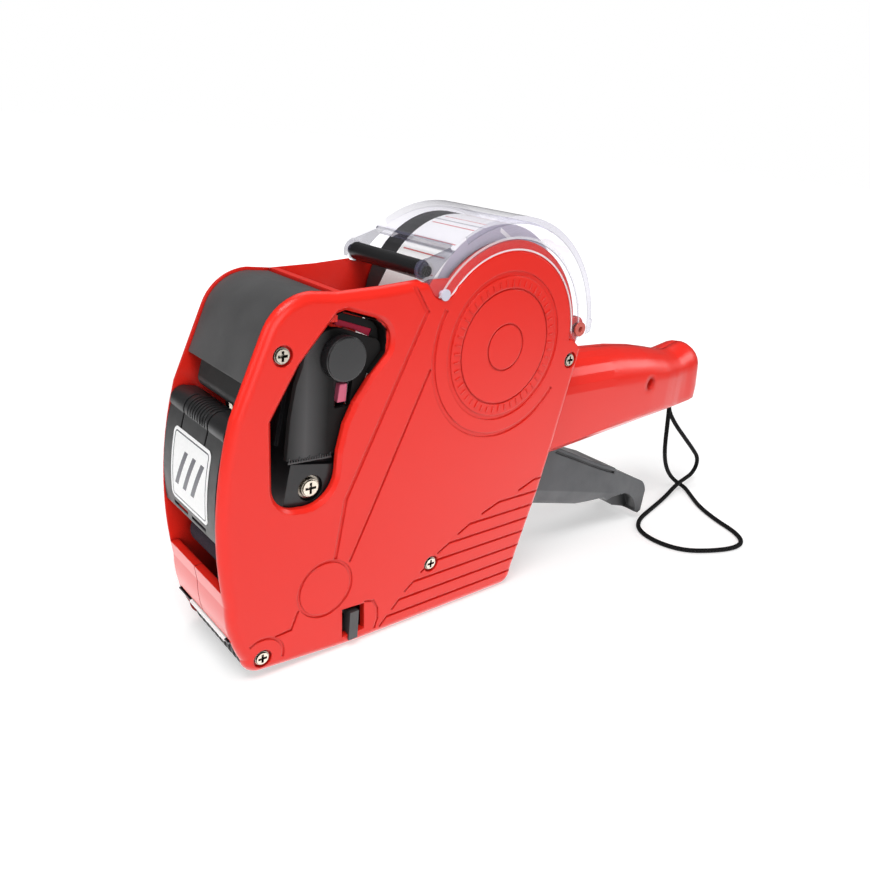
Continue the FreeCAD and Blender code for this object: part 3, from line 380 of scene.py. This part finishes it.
def painted_cover_edges(tree):
    """Colour of the clear cover with its painted highlight and shade lines, and the share in which it shows.
    """
    reach, angle, y = disc_polar(tree)
    away = math_node(tree, "ABSOLUTE", y)
    face = math_node(tree, "GREATER_THAN", away, SIDE_WALL)
    far_loss = math_node(tree, "MULTIPLY", math_node(tree, "GREATER_THAN", y, 0.0), FAR_LOSS)
    weight = math_node(tree, "SUBTRACT", 1.0, far_loss)
    shell = node(tree, "ShaderNodeLayerWeight")
    shell.inputs["Blend"].default_value = EDGE_BLEND
    edge_on = math_node(tree, "POWER", shell.outputs["Facing"], EDGE_POWER)
    cover = math_node(tree, "ADD", math_node(tree, "MULTIPLY", edge_on, EDGE_SHARE), CLEAR_SHARE)
    behind = math_node(tree, "LESS_THAN", angle, RINGS_END)
    colour = PALE
    for low, high, tint, share in COVER_RINGS:
        ring = math_node(tree, "MULTIPLY", face, between(tree, reach, low, high))
        if tint != PALE:
            ring = math_node(tree, "MULTIPLY", ring, behind)
        colour = mix_colour(tree, ring, colour, tint)
        share = math_node(tree, "MULTIPLY", weight, share)
        cover = math_node(tree, "MAXIMUM", cover, math_node(tree, "MULTIPLY", ring, share))
    front = math_node(tree, "GREATER_THAN", angle, RIB_FROM)
    rib = math_node(tree, "MULTIPLY", front, math_node(tree, "GREATER_THAN", reach, RIB_REACH))
    rib = math_node(tree, "MULTIPLY", rib, math_node(tree, "LESS_THAN", away, RIB_HALF))
    colour = mix_colour(tree, rib, colour, RIB_SLATE)
    return colour, math_node(tree, "MAXIMUM", cover, math_node(tree, "MULTIPLY", rib, RIB_SHARE))


def clear_plastic():
    """Clear cover with painted pale highlight lines and slate shade lines along its cut edges, and gloss on
    its outer faces.
    """
    material, tree, shader = new_shader("clear_cover", 0.12, IOR=COVER_IOR)
    clear = node(tree, "ShaderNodeBsdfTransparent")
    clear.inputs["Color"].default_value = CLEAR_TINT
    colour, cover = painted_cover_edges(tree)
    tree.links.new(colour, shader.inputs["Base Color"])
    milky = mix_shaders(tree, cover, clear.outputs["BSDF"], shader.outputs["BSDF"])
    gloss = node(tree, "ShaderNodeBsdfGlossy")
    gloss.inputs["Roughness"].default_value = 0.05
    gloss.inputs["Color"].default_value = GLOSS_TINT
    fresnel = node(tree, "ShaderNodeFresnel")
    fresnel.inputs["IOR"].default_value = COVER_IOR
    geometry = node(tree, "ShaderNodeNewGeometry")
    outside = math_node(tree, "SUBTRACT", 1.0, geometry.outputs["Backfacing"])
    shine = math_node(tree, "MULTIPLY", fresnel.outputs["Fac"], outside)
    surface = mix_shaders(tree, shine, milky, gloss.outputs["BSDF"])
    tree.links.new(surface, tree.nodes["Material Output"].inputs["Surface"])
    return material


# Metals
# Painted shade in recesses: its colour, and the reach and openness of the hollows where it falls
RECESS_SHADE = (0.02, 0.018, 0.015)
RECESSES = (0.0012, 0.45, 0.90)
SMUDGE_SIZE = 0.0015
SMUDGE_TONE = 0.86
METAL_EDGE = 0.00012


def metal(name, colour, rough, grain=0.0004):
    """Metal with painted shade in its recesses."""
    material, tree, shader = new_shader(name, rough, Metallic=1.0)
    smudge = noise(tree, SMUDGE_SIZE, 3.0)
    face = ramp(tree, smudge, tuple(c * SMUDGE_TONE for c in colour), colour)
    open_share = hollow(tree, *RECESSES)
    tree.links.new(mix_colour(tree, open_share, RECESS_SHADE, face), shader.inputs["Base Color"])
    wear = noise(tree, grain, 3.0)
    tree.links.new(ramp(tree, wear, rough - 0.06, rough + 0.08), shader.inputs["Roughness"])
    bump(tree, shader, wear, 0.00001, 0.3, rounded_edges(tree, METAL_EDGE))
    return material


# Labels: the pitch along the web, the printed width, and bands as shares of one pitch
LABEL_PITCH = 0.0125
PRINT_Y = (-0.0122, 0.0061)
GAP_SHARE = 0.05
PRINT_BANDS = ((0.20, 0.235), (0.80, 0.83))
GAP_GREY = (0.50, 0.50, 0.53)
PRINT_RED = (0.66, 0.16, 0.16)
LAYER_DARK = (0.52, 0.50, 0.60)
LAYER_PALE = (0.64, 0.62, 0.72)
SLIT_WHITE = (0.95, 0.95, 0.97)
ROLL_REACH = 0.0268
PAPER_REACH = 0.02666
WINDS_PER_METRE = 2400.0
WEB_LEAN = 0.2

# Pale slit across the wound side: its direction, distance from the roll's axis, width and ends
SLIT = (0.505, 0.863)
SLIT_REACH = 0.0203
SLIT_WIDTH = 0.0011
SLIT_ENDS = (-0.0017, 0.0036)


def printed_lines(tree, along, y):
    """Shares of grey gap lines and red print along a row of labels."""
    step = math_node(tree, "FRACT", math_node(tree, "DIVIDE", along, LABEL_PITCH))
    gap = math_node(tree, "LESS_THAN", step, GAP_SHARE)
    first, second = (between(tree, step, *band) for band in PRINT_BANDS)
    red = math_node(tree, "MAXIMUM", first, second)
    return gap, math_node(tree, "MULTIPLY", red, between(tree, y, *PRINT_Y))


def wound_side(tree, dx, dz, colour):
    """Lavender layers and the pale slit on the roll's flat side, over its outer colour."""
    squares = sum_of_squares(tree, dx, dz)
    winds = math_node(tree, "MULTIPLY", math_node(tree, "SQRT", squares), WINDS_PER_METRE)
    layers = ramp(tree, math_node(tree, "FRACT", winds), LAYER_DARK, LAYER_PALE, (0.2, 0.8))
    across = math_node(tree, "ADD", math_node(tree, "MULTIPLY", dx, SLIT[0]),
                       math_node(tree, "MULTIPLY", dz, SLIT[1]))
    slit = math_node(tree, "MULTIPLY", between(tree, across, SLIT_REACH, SLIT_REACH + SLIT_WIDTH),
                     between(tree, dx, *SLIT_ENDS))
    layers = mix_colour(tree, slit, layers, SLIT_WHITE)
    side = math_node(tree, "LESS_THAN", squares, PAPER_REACH ** 2)
    return mix_colour(tree, side, colour, layers)


def label_paper(name, on_roll):
    """White label paper with grey gaps and red print, wound on the roll or along the web."""
    material, tree, shader = new_shader(name, 0.55)
    if on_roll:
        dx, dz, y = offsets_from(tree, LABEL_ROLL)
        along = math_node(tree, "MULTIPLY", math_node(tree, "ARCTAN2", dz, dx), ROLL_REACH)
    else:
        x, y, z = object_axes(tree)
        along = math_node(tree, "ADD", z, math_node(tree, "MULTIPLY", x, WEB_LEAN))
    gap, red = printed_lines(tree, along, y)
    fibre = noise(tree, 0.0006, 3.0)
    white = ramp(tree, fibre, (0.94, 0.94, 0.94), (0.98, 0.98, 0.98))
    colour = mix_colour(tree, gap, white, GAP_GREY)
    colour = mix_colour(tree, red, colour, PRINT_RED)
    if on_roll:
        colour = wound_side(tree, dx, dz, colour)
    tree.links.new(colour, shader.inputs["Base Color"])
    bump(tree, shader, fibre, 0.00002, 0.3)
    return material


# Cord and felt: the weave's phase over the whole cord in radians, and its strands around it
BRAID_PHASE = 1300.0
BRAID_STRANDS = 4


def braid():
    """Black braid of the wrist strap, woven along the curve."""
    material, tree, shader = new_shader("strap_braid", 0.85, Specular_IOR_Level=0.12)
    coords = node(tree, "ShaderNodeTexCoord")
    parts = node(tree, "ShaderNodeSeparateXYZ")
    tree.links.new(coords.outputs["UV"], parts.inputs["Vector"])
    along = math_node(tree, "MULTIPLY", parts.outputs["X"], BRAID_PHASE)
    around = math_node(tree, "MULTIPLY", parts.outputs["Y"], BRAID_STRANDS * 2 * math.pi)
    left = math_node(tree, "SINE", math_node(tree, "ADD", along, around))
    right = math_node(tree, "SINE", math_node(tree, "SUBTRACT", along, around))
    weave = math_node(tree, "MAXIMUM", left, right)
    colour = ramp(tree, weave, (0.002, 0.002, 0.002), (0.009, 0.009, 0.010), (0.1, 0.9))
    tree.links.new(colour, shader.inputs["Base Color"])
    bump(tree, shader, weave, 0.00018, 0.9)
    return material


def felt():
    """Ink-soaked felt of the ink roller."""
    material, tree, shader = new_shader("ink_felt", 0.9)
    fibre = noise(tree, 0.0004, 4.0, 0.7)
    colour = ramp(tree, fibre, (0.008, 0.004, 0.010), (0.022, 0.010, 0.026))
    tree.links.new(colour, shader.inputs["Base Color"])
    bump(tree, shader, fibre, 0.0002, 0.8)
    return material


# Sticker: its place in drawing millimetres, and its lines in metres
STICKER_Y = (-11.4, 10.6)
STICKER_Z = (46.5, 66.5)
STICKER_CORNER = 0.0020
FRAME_INSET = (0.0009, 0.0013)
BAR_PITCH = 0.0048
BAR_SHARE = 0.21
BAR_LEAN = 0.5
BARS_HALF = (0.0070, 0.0052)
STICKER_INK = (0.05, 0.05, 0.07)


def sticker_inset(tree, across, upward):
    """Distance inward from the sticker's outline with its rounded corners."""
    half_y = (STICKER_Y[1] - STICKER_Y[0]) / 2 * MM
    half_z = (STICKER_Z[1] - STICKER_Z[0]) / 2 * MM
    over_y = math_node(tree, "SUBTRACT", math_node(tree, "ABSOLUTE", across), half_y - STICKER_CORNER)
    over_z = math_node(tree, "SUBTRACT", math_node(tree, "ABSOLUTE", upward), half_z - STICKER_CORNER)
    inward = math_node(tree, "MINIMUM", math_node(tree, "MAXIMUM", over_y, over_z), 0.0)
    over_y = math_node(tree, "MAXIMUM", over_y, 0.0)
    over_z = math_node(tree, "MAXIMUM", over_z, 0.0)
    corner = math_node(tree, "SQRT", sum_of_squares(tree, over_y, over_z))
    return math_node(tree, "SUBTRACT", STICKER_CORNER, math_node(tree, "ADD", corner, inward))


def slanted_bars(tree, across, upward):
    """Share of the three bars in the middle of the sticker."""
    slant = math_node(tree, "ADD", across, math_node(tree, "MULTIPLY", upward, BAR_LEAN))
    pitches = math_node(tree, "ADD", math_node(tree, "DIVIDE", slant, BAR_PITCH), 0.5)
    off_middle = math_node(tree, "SUBTRACT", math_node(tree, "FRACT", pitches), 0.5)
    bars = math_node(tree, "LESS_THAN", math_node(tree, "ABSOLUTE", off_middle), BAR_SHARE)
    for value, limit in zip((slant, upward), BARS_HALF):
        within = math_node(tree, "LESS_THAN", math_node(tree, "ABSOLUTE", value), limit)
        bars = math_node(tree, "MULTIPLY", bars, within)
    return bars


def sticker_paper():
    """White gloss paper with a thin dark frame and three slanted bars."""
    material, tree, shader = new_shader("sticker", 0.35)
    x, y, z = object_axes(tree)
    across = math_node(tree, "SUBTRACT", y, sum(STICKER_Y) / 2 * MM)
    upward = math_node(tree, "SUBTRACT", z, sum(STICKER_Z) / 2 * MM)
    inset = sticker_inset(tree, across, upward)
    ink = math_node(tree, "MAXIMUM", between(tree, inset, *FRAME_INSET), slanted_bars(tree, across, upward))
    fibre = noise(tree, 0.0008, 3.0)
    paper = ramp(tree, fibre, (0.93, 0.93, 0.93), (0.97, 0.97, 0.97))
    tree.links.new(mix_colour(tree, ink, paper, STICKER_INK), shader.inputs["Base Color"])
    bump(tree, shader, fibre, 0.00001, 0.2)
    clear = node(tree, "ShaderNodeBsdfTransparent")
    inside = math_node(tree, "GREATER_THAN", inset, 0.0)
    trimmed = mix_shaders(tree, inside, clear.outputs["BSDF"], shader.outputs["BSDF"])
    tree.links.new(trimmed, tree.nodes["Material Output"].inputs["Surface"])
    return material


# Materials and the nodes that wear them
MATERIALS = {
    "red_shell": shell_plastic(),
    "black_matte": moulded("black_matte", BLACK, BLACK_PALE, 0.46, *TEXTURED, shade=0.0025),
    "cover_black": moulded("cover_black", (0.010, 0.010, 0.011), (0.018, 0.018, 0.019), 0.42, *TEXTURED,
                           shade=0.0025, Specular_IOR_Level=0.35),
    # Lighter copy of the black plastic that stands in for the light falling on the cap, with painted shade
    # below its lower edge
    "cap_black": overlay(moulded("cap_black", (0.048, 0.048, 0.049), (0.086, 0.086, 0.087), 0.50, *TEXTURED,
                                 shade=0.010, Specular_IOR_Level=0.40), under_cap, (0.003, 0.003, 0.003)),
    "black_gloss": moulded("black_gloss", (0.006, 0.006, 0.007), (0.012, 0.012, 0.013), 0.30, *POLISHED),
    "grey_lever": moulded("grey_lever", (0.044, 0.046, 0.051), (0.066, 0.068, 0.074), 0.48, *LEVER_GRAIN,
                          shade=0.016, open_at=0.98, Specular_IOR_Level=0.34),
    # Darker copy of the black plastic: painted shade for the print head inside the side window
    "head_black": moulded("head_black", (0.006, 0.006, 0.007), (0.011, 0.011, 0.012), 0.34, *POLISHED,
                          Specular_IOR_Level=0.30),
    # Still darker copy of the black plastic: painted shade inside the side window, with a painted highlight
    # band on the head's side plate
    "deep_black": overlay(moulded("deep_black", (0.004, 0.004, 0.004), (0.007, 0.007, 0.007), 0.50,
                                  *POLISHED, Specular_IOR_Level=0.12), plate_gleam, (0.085, 0.085, 0.087)),
    "hinge_red": moulded("hinge_red", (0.52, 0.08, 0.06), (0.62, 0.12, 0.09), 0.3, *POLISHED, shade=0.001),
    "rubber": moulded("rubber", (0.015, 0.015, 0.015), (0.028, 0.028, 0.028), 0.7, *RUBBER_GRAIN),
    "band_rubber": moulded("band_rubber", (0.05, 0.012, 0.012), (0.10, 0.02, 0.02), 0.6, *RUBBER_GRAIN),
    "index_red": moulded("index_red", (0.30, 0.008, 0.030), (0.38, 0.014, 0.046), 0.4, *POLISHED,
                         Specular_IOR_Level=0.15),
    "pointer_pink": moulded("pointer_pink", (0.60, 0.09, 0.17), (0.72, 0.15, 0.25), 0.3, *POLISHED,
                            shade=0.002),
    "rivet_clear": moulded("rivet_clear", (0.46, 0.45, 0.56), (0.62, 0.61, 0.72), 0.12, *POLISHED),
    "clear_cover": clear_plastic(),
    "steel": metal("steel", (0.55, 0.55, 0.56), 0.32),
    "nickel": metal("nickel", (0.52, 0.47, 0.40), 0.26),
    "dark_steel": metal("dark_steel", (0.16, 0.16, 0.17), 0.35),
    "label_roll": label_paper("label_roll", True),
    "label_web": label_paper("label_web", False),
    "ink_felt": felt(),
    "strap_braid": braid(),
    "sticker": sticker_paper(),
}

NODE_MATERIALS = {
    "red_shell": ["case_near", "case_far"],
    "hinge_red": ["cover_hinge_pin"],
    "head_black": ["print_head"],
    "deep_black": ["yoke_near", "yoke_far"],
    "cap_black": ["top_cap"],
    "cover_black": ["front_cover"],
    "black_matte": ["yoke_bar", "roll_hub", "cover_latch", "bottom_cover", "platen_block", "spring_post",
                    "selector_shaft", "feed_wheel", "band_wheels", "print_bar"],
    "black_gloss": ["guide_bar", "selector_knob"],
    "grey_lever": ["hand_lever"],
    "rubber": ["applicator_roller", "platen_pad", "pinch_roller"],
    "band_rubber": ["digit_bands"],
    "index_red": ["band_index"],
    "pointer_pink": ["selector_pointer"],
    "clear_cover": ["label_cover"],
    "steel": ["lever_shaft", "applicator_axle", "guide_axle", "web_guide_pins", "feed_shaft", "pinch_axle",
              "bottom_hinge_pin", "front_cover_pin", "strap_pin", "ink_axle", "ink_arm", "feed_pawl",
              "return_spring"],
    "nickel": ["case_screws", "head_screws", "cover_clip"],
    "dark_steel": ["peel_plate"],
    "rivet_clear": ["cover_rivets"],
    "label_roll": ["label_roll"],
    "label_web": ["label_web"],
    "ink_felt": ["ink_roller"],
    "strap_braid": ["wrist_strap"],
}
SHARP_FROM = math.radians(32)


def dress_nodes():
    for material, names in NODE_MATERIALS.items():
        for name in names:
            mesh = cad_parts[name].data
            mesh.materials.clear()
            mesh.materials.append(MATERIALS[material])
            mesh.shade_smooth()
            mesh.set_sharp_from_angle(angle=SHARP_FROM)


# Pieces of the scene's own
def add_piece(name, mesh, material, body):
    piece = bpy.data.objects.new(name, mesh)
    bpy.context.scene.collection.objects.link(piece)
    mesh.materials.append(MATERIALS[material])
    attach(piece, body)
    return piece


def finish_mesh(build, name):
    """Mesh of the bmesh with its faces turned outward and no face with more than four corners."""
    bmesh.ops.recalc_face_normals(build, faces=build.faces)
    bmesh.ops.triangulate(build, faces=[face for face in build.faces if len(face.verts) > 4])
    mesh = bpy.data.meshes.new(name)
    build.to_mesh(mesh)
    build.free()
    return mesh


def plate_mesh(name, outline, y0, y1):
    """Flat plate between two depths with the outline given in drawing millimetres."""
    build = bmesh.new()
    near = [build.verts.new(place(x, z, y0)) for x, z in outline]
    far = [build.verts.new(place(x, z, y1)) for x, z in outline]
    build.faces.new(near)
    build.faces.new(far[::-1])
    count = len(outline)
    for i in range(count):
        k = (i + 1) % count
        build.faces.new((near[i], far[i], far[k], near[k]))
    return finish_mesh(build, name)


def merge_meshes(name, meshes):
    build = bmesh.new()
    for mesh in meshes:
        build.from_mesh(mesh)
        bpy.data.meshes.remove(mesh)
    whole = bpy.data.meshes.new(name)
    build.to_mesh(whole)
    build.free()
    return whole


# Painted shade: a dark sheet over the inner wall of the side window, and a dark plate above and beside the
# index strip, where the inside of the window lies in shade
WINDOW_SIDE = [(-58.3, 99.2), (-56.5, 99.9), (-47.1, 97.1), (-45.0, 96.2), (-43.4, 94.2), (-42.9, 91.4),
               (-43.1, 88.1), (-47.9, 82.8)]
SHADE_SHEET_THICK = 0.12
SHADE_SHEET_Y = (-16.9, -9.2)
SHADE_PLATE = [(-58.2, 97.5), (-58.0, 99.2), (-56.4, 99.3), (-47.4, 96.6), (-45.5, 95.8), (-44.1, 94.0),
           (-43.6, 91.4), (-44.0, 90.4), (-46.6, 91.8), (-45.7, 93.9), (-56.6, 97.45)]
SHADE_PLATE_Y = (-14.05, -13.83)


def add_window_shade():
    inner = []
    for i, (x, z) in enumerate(WINDOW_SIDE):
        x0, z0 = WINDOW_SIDE[max(i - 1, 0)]
        x1, z1 = WINDOW_SIDE[min(i + 1, len(WINDOW_SIDE) - 1)]
        run = math.dist((x0, z0), (x1, z1))
        inner.append((x + (z1 - z0) / run * SHADE_SHEET_THICK, z - (x1 - x0) / run * SHADE_SHEET_THICK))
    shade_sheet = plate_mesh("window_shade_sheet", WINDOW_SIDE + inner[::-1], *SHADE_SHEET_Y)
    add_piece("window_shade_sheet", shade_sheet, "deep_black", "case")
    shade_plate = plate_mesh("index_shade_plate", SHADE_PLATE, *SHADE_PLATE_Y)
    add_piece("index_shade_plate", shade_plate, "deep_black", "lever")


# Toothed scale on the head plate, with the rise of its short and its long teeth
SCALE_LINE = ((-70.6, 61.6), (-57.6, 61.2))
SCALE_WIDTH = 0.5
SCALE_TEETH = 17
LONG_TOOTH_EVERY = 4
TOOTH_RISE = (0.6, 1.1)
TOOTH_HALF = 0.14
HEAD_FACE_Y = -15.6
SCALE_THICK = 0.22


def add_head_scale():
    (xa, za), (xb, zb) = SCALE_LINE
    depths = (HEAD_FACE_Y - SCALE_THICK, HEAD_FACE_Y)
    bars = [plate_mesh("bar", [(xa, za), (xb, zb), (xb, zb - SCALE_WIDTH), (xa, za - SCALE_WIDTH)], *depths)]
    for i in range(SCALE_TEETH):
        share = (i + 0.5) / SCALE_TEETH
        x = xa + (xb - xa) * share
        z = za + (zb - za) * share
        top = z + TOOTH_RISE[i % LONG_TOOTH_EVERY == 0]
        bars.append(plate_mesh("bar", [(x - TOOTH_HALF, z), (x + TOOTH_HALF, z), (x + TOOTH_HALF, top),
                                       (x - TOOTH_HALF, top)], *depths))
    add_piece("head_scale", merge_meshes("head_scale", bars), "black_matte", "lever")


# Front cover sticker
def arc_points(start, through, end, count):
    """Hub, radius and evenly spaced angles of the arc through three (x, z) places."""
    (ax, az), (bx, bz), (cx, cz) = start, through, end
    d = 2 * (ax * (bz - cz) + bx * (cz - az) + cx * (az - bz))
    a2, b2, c2 = ax * ax + az * az, bx * bx + bz * bz, cx * cx + cz * cz
    hub = ((a2 * (bz - cz) + b2 * (cz - az) + c2 * (az - bz)) / d,
           (a2 * (cx - bx) + b2 * (ax - cx) + c2 * (bx - ax)) / d)
    reach = math.dist(hub, start)
    first = math.atan2(az - hub[1], ax - hub[0])
    turn = math.remainder(math.atan2(cz - hub[1], cx - hub[0]) - first, 2 * math.pi)
    return hub, reach, [first + turn * i / (count - 1) for i in range(count)]


COVER_FACE = ((-89.9, 43.4), (-90.2, 57.0), (-87.9, 70.4))
STICKER_LIFTS = (0.01, 0.09)
STICKER_ROWS = 61
STICKER_SHARP = math.radians(40)


def add_sticker():
    """Paper plate that lies on the curved face of the front cover."""
    hub, reach, angles = arc_points(*COVER_FACE, STICKER_ROWS)
    build = bmesh.new()
    rows = []
    for a in angles:
        z = hub[1] + (reach + STICKER_LIFTS[1]) * math.sin(a)
        if not STICKER_Z[0] <= z <= STICKER_Z[1]:
            continue
        row = []
        for lift in STICKER_LIFTS:
            for y in STICKER_Y:
                row.append(build.verts.new(place(hub[0] + (reach + lift) * math.cos(a),
                                                 hub[1] + (reach + lift) * math.sin(a), y)))
        rows.append(row)
    for low, high in zip(rows, rows[1:]):
        for a, b in ((0, 1), (1, 3), (3, 2), (2, 0)):
            build.faces.new((low[a], low[b], high[b], high[a]))
    for row in (rows[0], rows[-1]):
        build.faces.new((row[0], row[1], row[3], row[2]))
    mesh = finish_mesh(build, "cover_sticker")
    mesh.shade_smooth()
    mesh.set_sharp_from_angle(angle=STICKER_SHARP)
    add_piece("cover_sticker", mesh, "sticker", "front_cover")


# Raised ticks round the disc, with the half width of the short and the long ones
TICK_RING = (18.3, 20.1)
TICK_COUNT = 48
TICK_HEIGHT = 0.25
TICK_FOOT = 0.05
TICK_HALF = (0.20, 0.30)
LONG_TICK_EVERY = 4
LONG_TICK_EXTRA = 0.5


def add_disc_ticks():
    build = bmesh.new()
    for i in range(TICK_COUNT):
        turn = 2 * math.pi * i / TICK_COUNT
        is_long = i % LONG_TICK_EVERY == 0
        inner = TICK_RING[0] - LONG_TICK_EXTRA * is_long
        half = TICK_HALF[is_long]
        ring = []
        for reach, side in ((inner, -half), (TICK_RING[1], -half), (TICK_RING[1], half), (inner, half)):
            x = DISC[0] + reach * math.cos(turn) - side * math.sin(turn)
            z = DISC[1] + reach * math.sin(turn) + side * math.cos(turn)
            ring.append((x, z))
        low = [build.verts.new(place(x, z, SIDE_Y + TICK_FOOT)) for x, z in ring]
        high = [build.verts.new(place(x, z, SIDE_Y - TICK_HEIGHT)) for x, z in ring]
        build.faces.new(high)
        for k in range(4):
            build.faces.new((low[k], low[(k + 1) % 4], high[(k + 1) % 4], high[k]))
    add_piece("disc_ticks", finish_mesh(build, "disc_ticks"), "red_shell", "case")


# Wrist strap
STRAP_DIAMETER = 1.8 * MM
STRAP = [(118.8, -0.95, 52.2), (121.4, -0.85, 38.5), (124.9, 0.0, 22.0), (130.4, 1.2, 12.8),
         (136.8, 1.8, 6.2), (141.9, 1.0, 2.3), (143.0, -3.0, 1.0), (138.6, -8.6, 1.0),
         (130.8, -18.6, 1.0), (125.6, -30.4, 1.0), (123.0, -40.6, 1.0), (117.8, -47.4, 1.0),
         (109.6, -48.3, 1.0), (99.0, -44.4, 1.0), (89.6, -38.4, 1.0), (85.9, -28.6, 1.0),
         (87.8, -18.6, 1.0), (95.8, -12.6, 1.0), (109.4, -9.0, 1.0), (124.0, -5.2, 1.0),
         (136.2, -2.7, 4.0), (145.2, -1.1, 4.3), (151.4, 0.0, 4.6), (155.4, 0.6, 7.6),
         (154.9, 0.6, 12.2), (149.6, 0.6, 17.0), (140.4, 0.7, 24.6), (129.8, 0.9, 33.4),
         (122.4, 1.0, 41.6), (118.9, 1.0, 52.2)]


def add_strap():
    curve = bpy.data.curves.new("wrist_strap_cord", "CURVE")
    curve.dimensions = "3D"
    curve.bevel_depth = STRAP_DIAMETER / 2
    curve.bevel_resolution = 5
    curve.resolution_u = 12
    curve.use_fill_caps = True
    spline = curve.splines.new("NURBS")
    spline.points.add(len(STRAP) - 1)
    for point, (x, y, z) in zip(spline.points, STRAP):
        point.co = (*place(x, z, y), 1.0)
    spline.order_u = 3
    spline.use_endpoint_u = True
    strap = add_piece("wrist_strap_cord", curve, "strap_braid", "case")
    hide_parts("wrist_strap")
    x, y, z = STRAP[0]


# Floor, backdrop and light
FLOOR_HALF = 6.0
FLOOR_GREY = (0.62, 0.62, 0.62, 1.0)
WHITE = (1.0, 1.0, 1.0, 1.0)

# Distances from the object's middle, and the floor's glow for the eye and for reflections there
SEEN_REACH = (0.20, 0.60)
SEEN_GLOW = (0.45, 1.0)
SHEEN_REACH = (0.12, 0.50)
SHEEN_GLOW = (1.7, 0.0)
WORLD_GLOW = 0.14

# Lamps: name, place, size and power, all turned towards the object
LAMPS = (("key", (-0.40, -1.00, 0.42), 0.8, 5.6), ("top_front", (-0.40, -0.30, 1.10), 0.6, 8.5),
         ("top_back", (0.30, 0.35, 1.00), 0.7, 2.6), ("front", (-1.10, -0.20, 0.60), 0.6, 2.6),
         ("handle_side", (0.95, -0.35, 0.55), 0.4, 2.3))
LAMP_AIM = (0.0, 0.0, 0.05)


def add_stage():
    """Pale floor that looks white to the eye and keeps the object's shadow."""
    mesh = bpy.data.meshes.new("floor")
    corners = [(-FLOOR_HALF, -FLOOR_HALF, 0), (FLOOR_HALF, -FLOOR_HALF, 0), (FLOOR_HALF, FLOOR_HALF, 0),
               (-FLOOR_HALF, FLOOR_HALF, 0)]
    mesh.from_pydata(corners, [], [(0, 1, 2, 3)])
    floor = bpy.data.objects.new("floor", mesh)
    bpy.context.scene.collection.objects.link(floor)
    material, tree, shader = new_shader("pale_floor", 0.6, Base_Color=FLOOR_GREY)
    shader.inputs["Emission Color"].default_value = WHITE
    path = node(tree, "ShaderNodeLightPath")
    x, y, z = object_axes(tree)
    reach = math_node(tree, "SQRT", sum_of_squares(tree, x, y))
    seen = math_node(tree, "MAXIMUM", path.outputs["Is Camera Ray"], path.outputs["Is Transmission Ray"])
    seen = math_node(tree, "MULTIPLY", seen, run_between(tree, reach, SEEN_REACH, SEEN_GLOW))
    sheen = math_node(tree, "MULTIPLY", path.outputs["Is Glossy Ray"],
                      run_between(tree, reach, SHEEN_REACH, SHEEN_GLOW))
    tree.links.new(math_node(tree, "MAXIMUM", seen, sheen), shader.inputs["Emission Strength"])
    mesh.materials.append(material)


def add_world():
    world = bpy.data.worlds.new("studio")
    bpy.context.scene.world = world
    world.use_nodes = True
    tree = world.node_tree
    background = tree.nodes["Background"]
    path = node(tree, "ShaderNodeLightPath")
    seen = math_node(tree, "MAXIMUM", path.outputs["Is Camera Ray"], path.outputs["Is Transmission Ray"])
    background.inputs["Color"].default_value = WHITE
    tree.links.new(math_node(tree, "MAXIMUM", seen, WORLD_GLOW), background.inputs["Strength"])


def add_lights():
    for name, at, size, power in LAMPS:
        light = bpy.data.lights.new(name, "AREA")
        light.shape = "DISK"
        light.size = size
        light.energy = power
        lamp = bpy.data.objects.new(name, light)
        bpy.context.scene.collection.objects.link(lamp)
        lamp.location = at
        aim = Vector(LAMP_AIM) - Vector(at)
        lamp.rotation_euler = aim.to_track_quat("-Z", "Y").to_euler()


add_camera()
add_world()
add_lights()
add_stage()
dress_nodes()
add_window_shade()
add_head_scale()
add_sticker()
add_disc_ticks()
add_strap()

bpy.context.scene.view_settings.view_transform = "Standard"
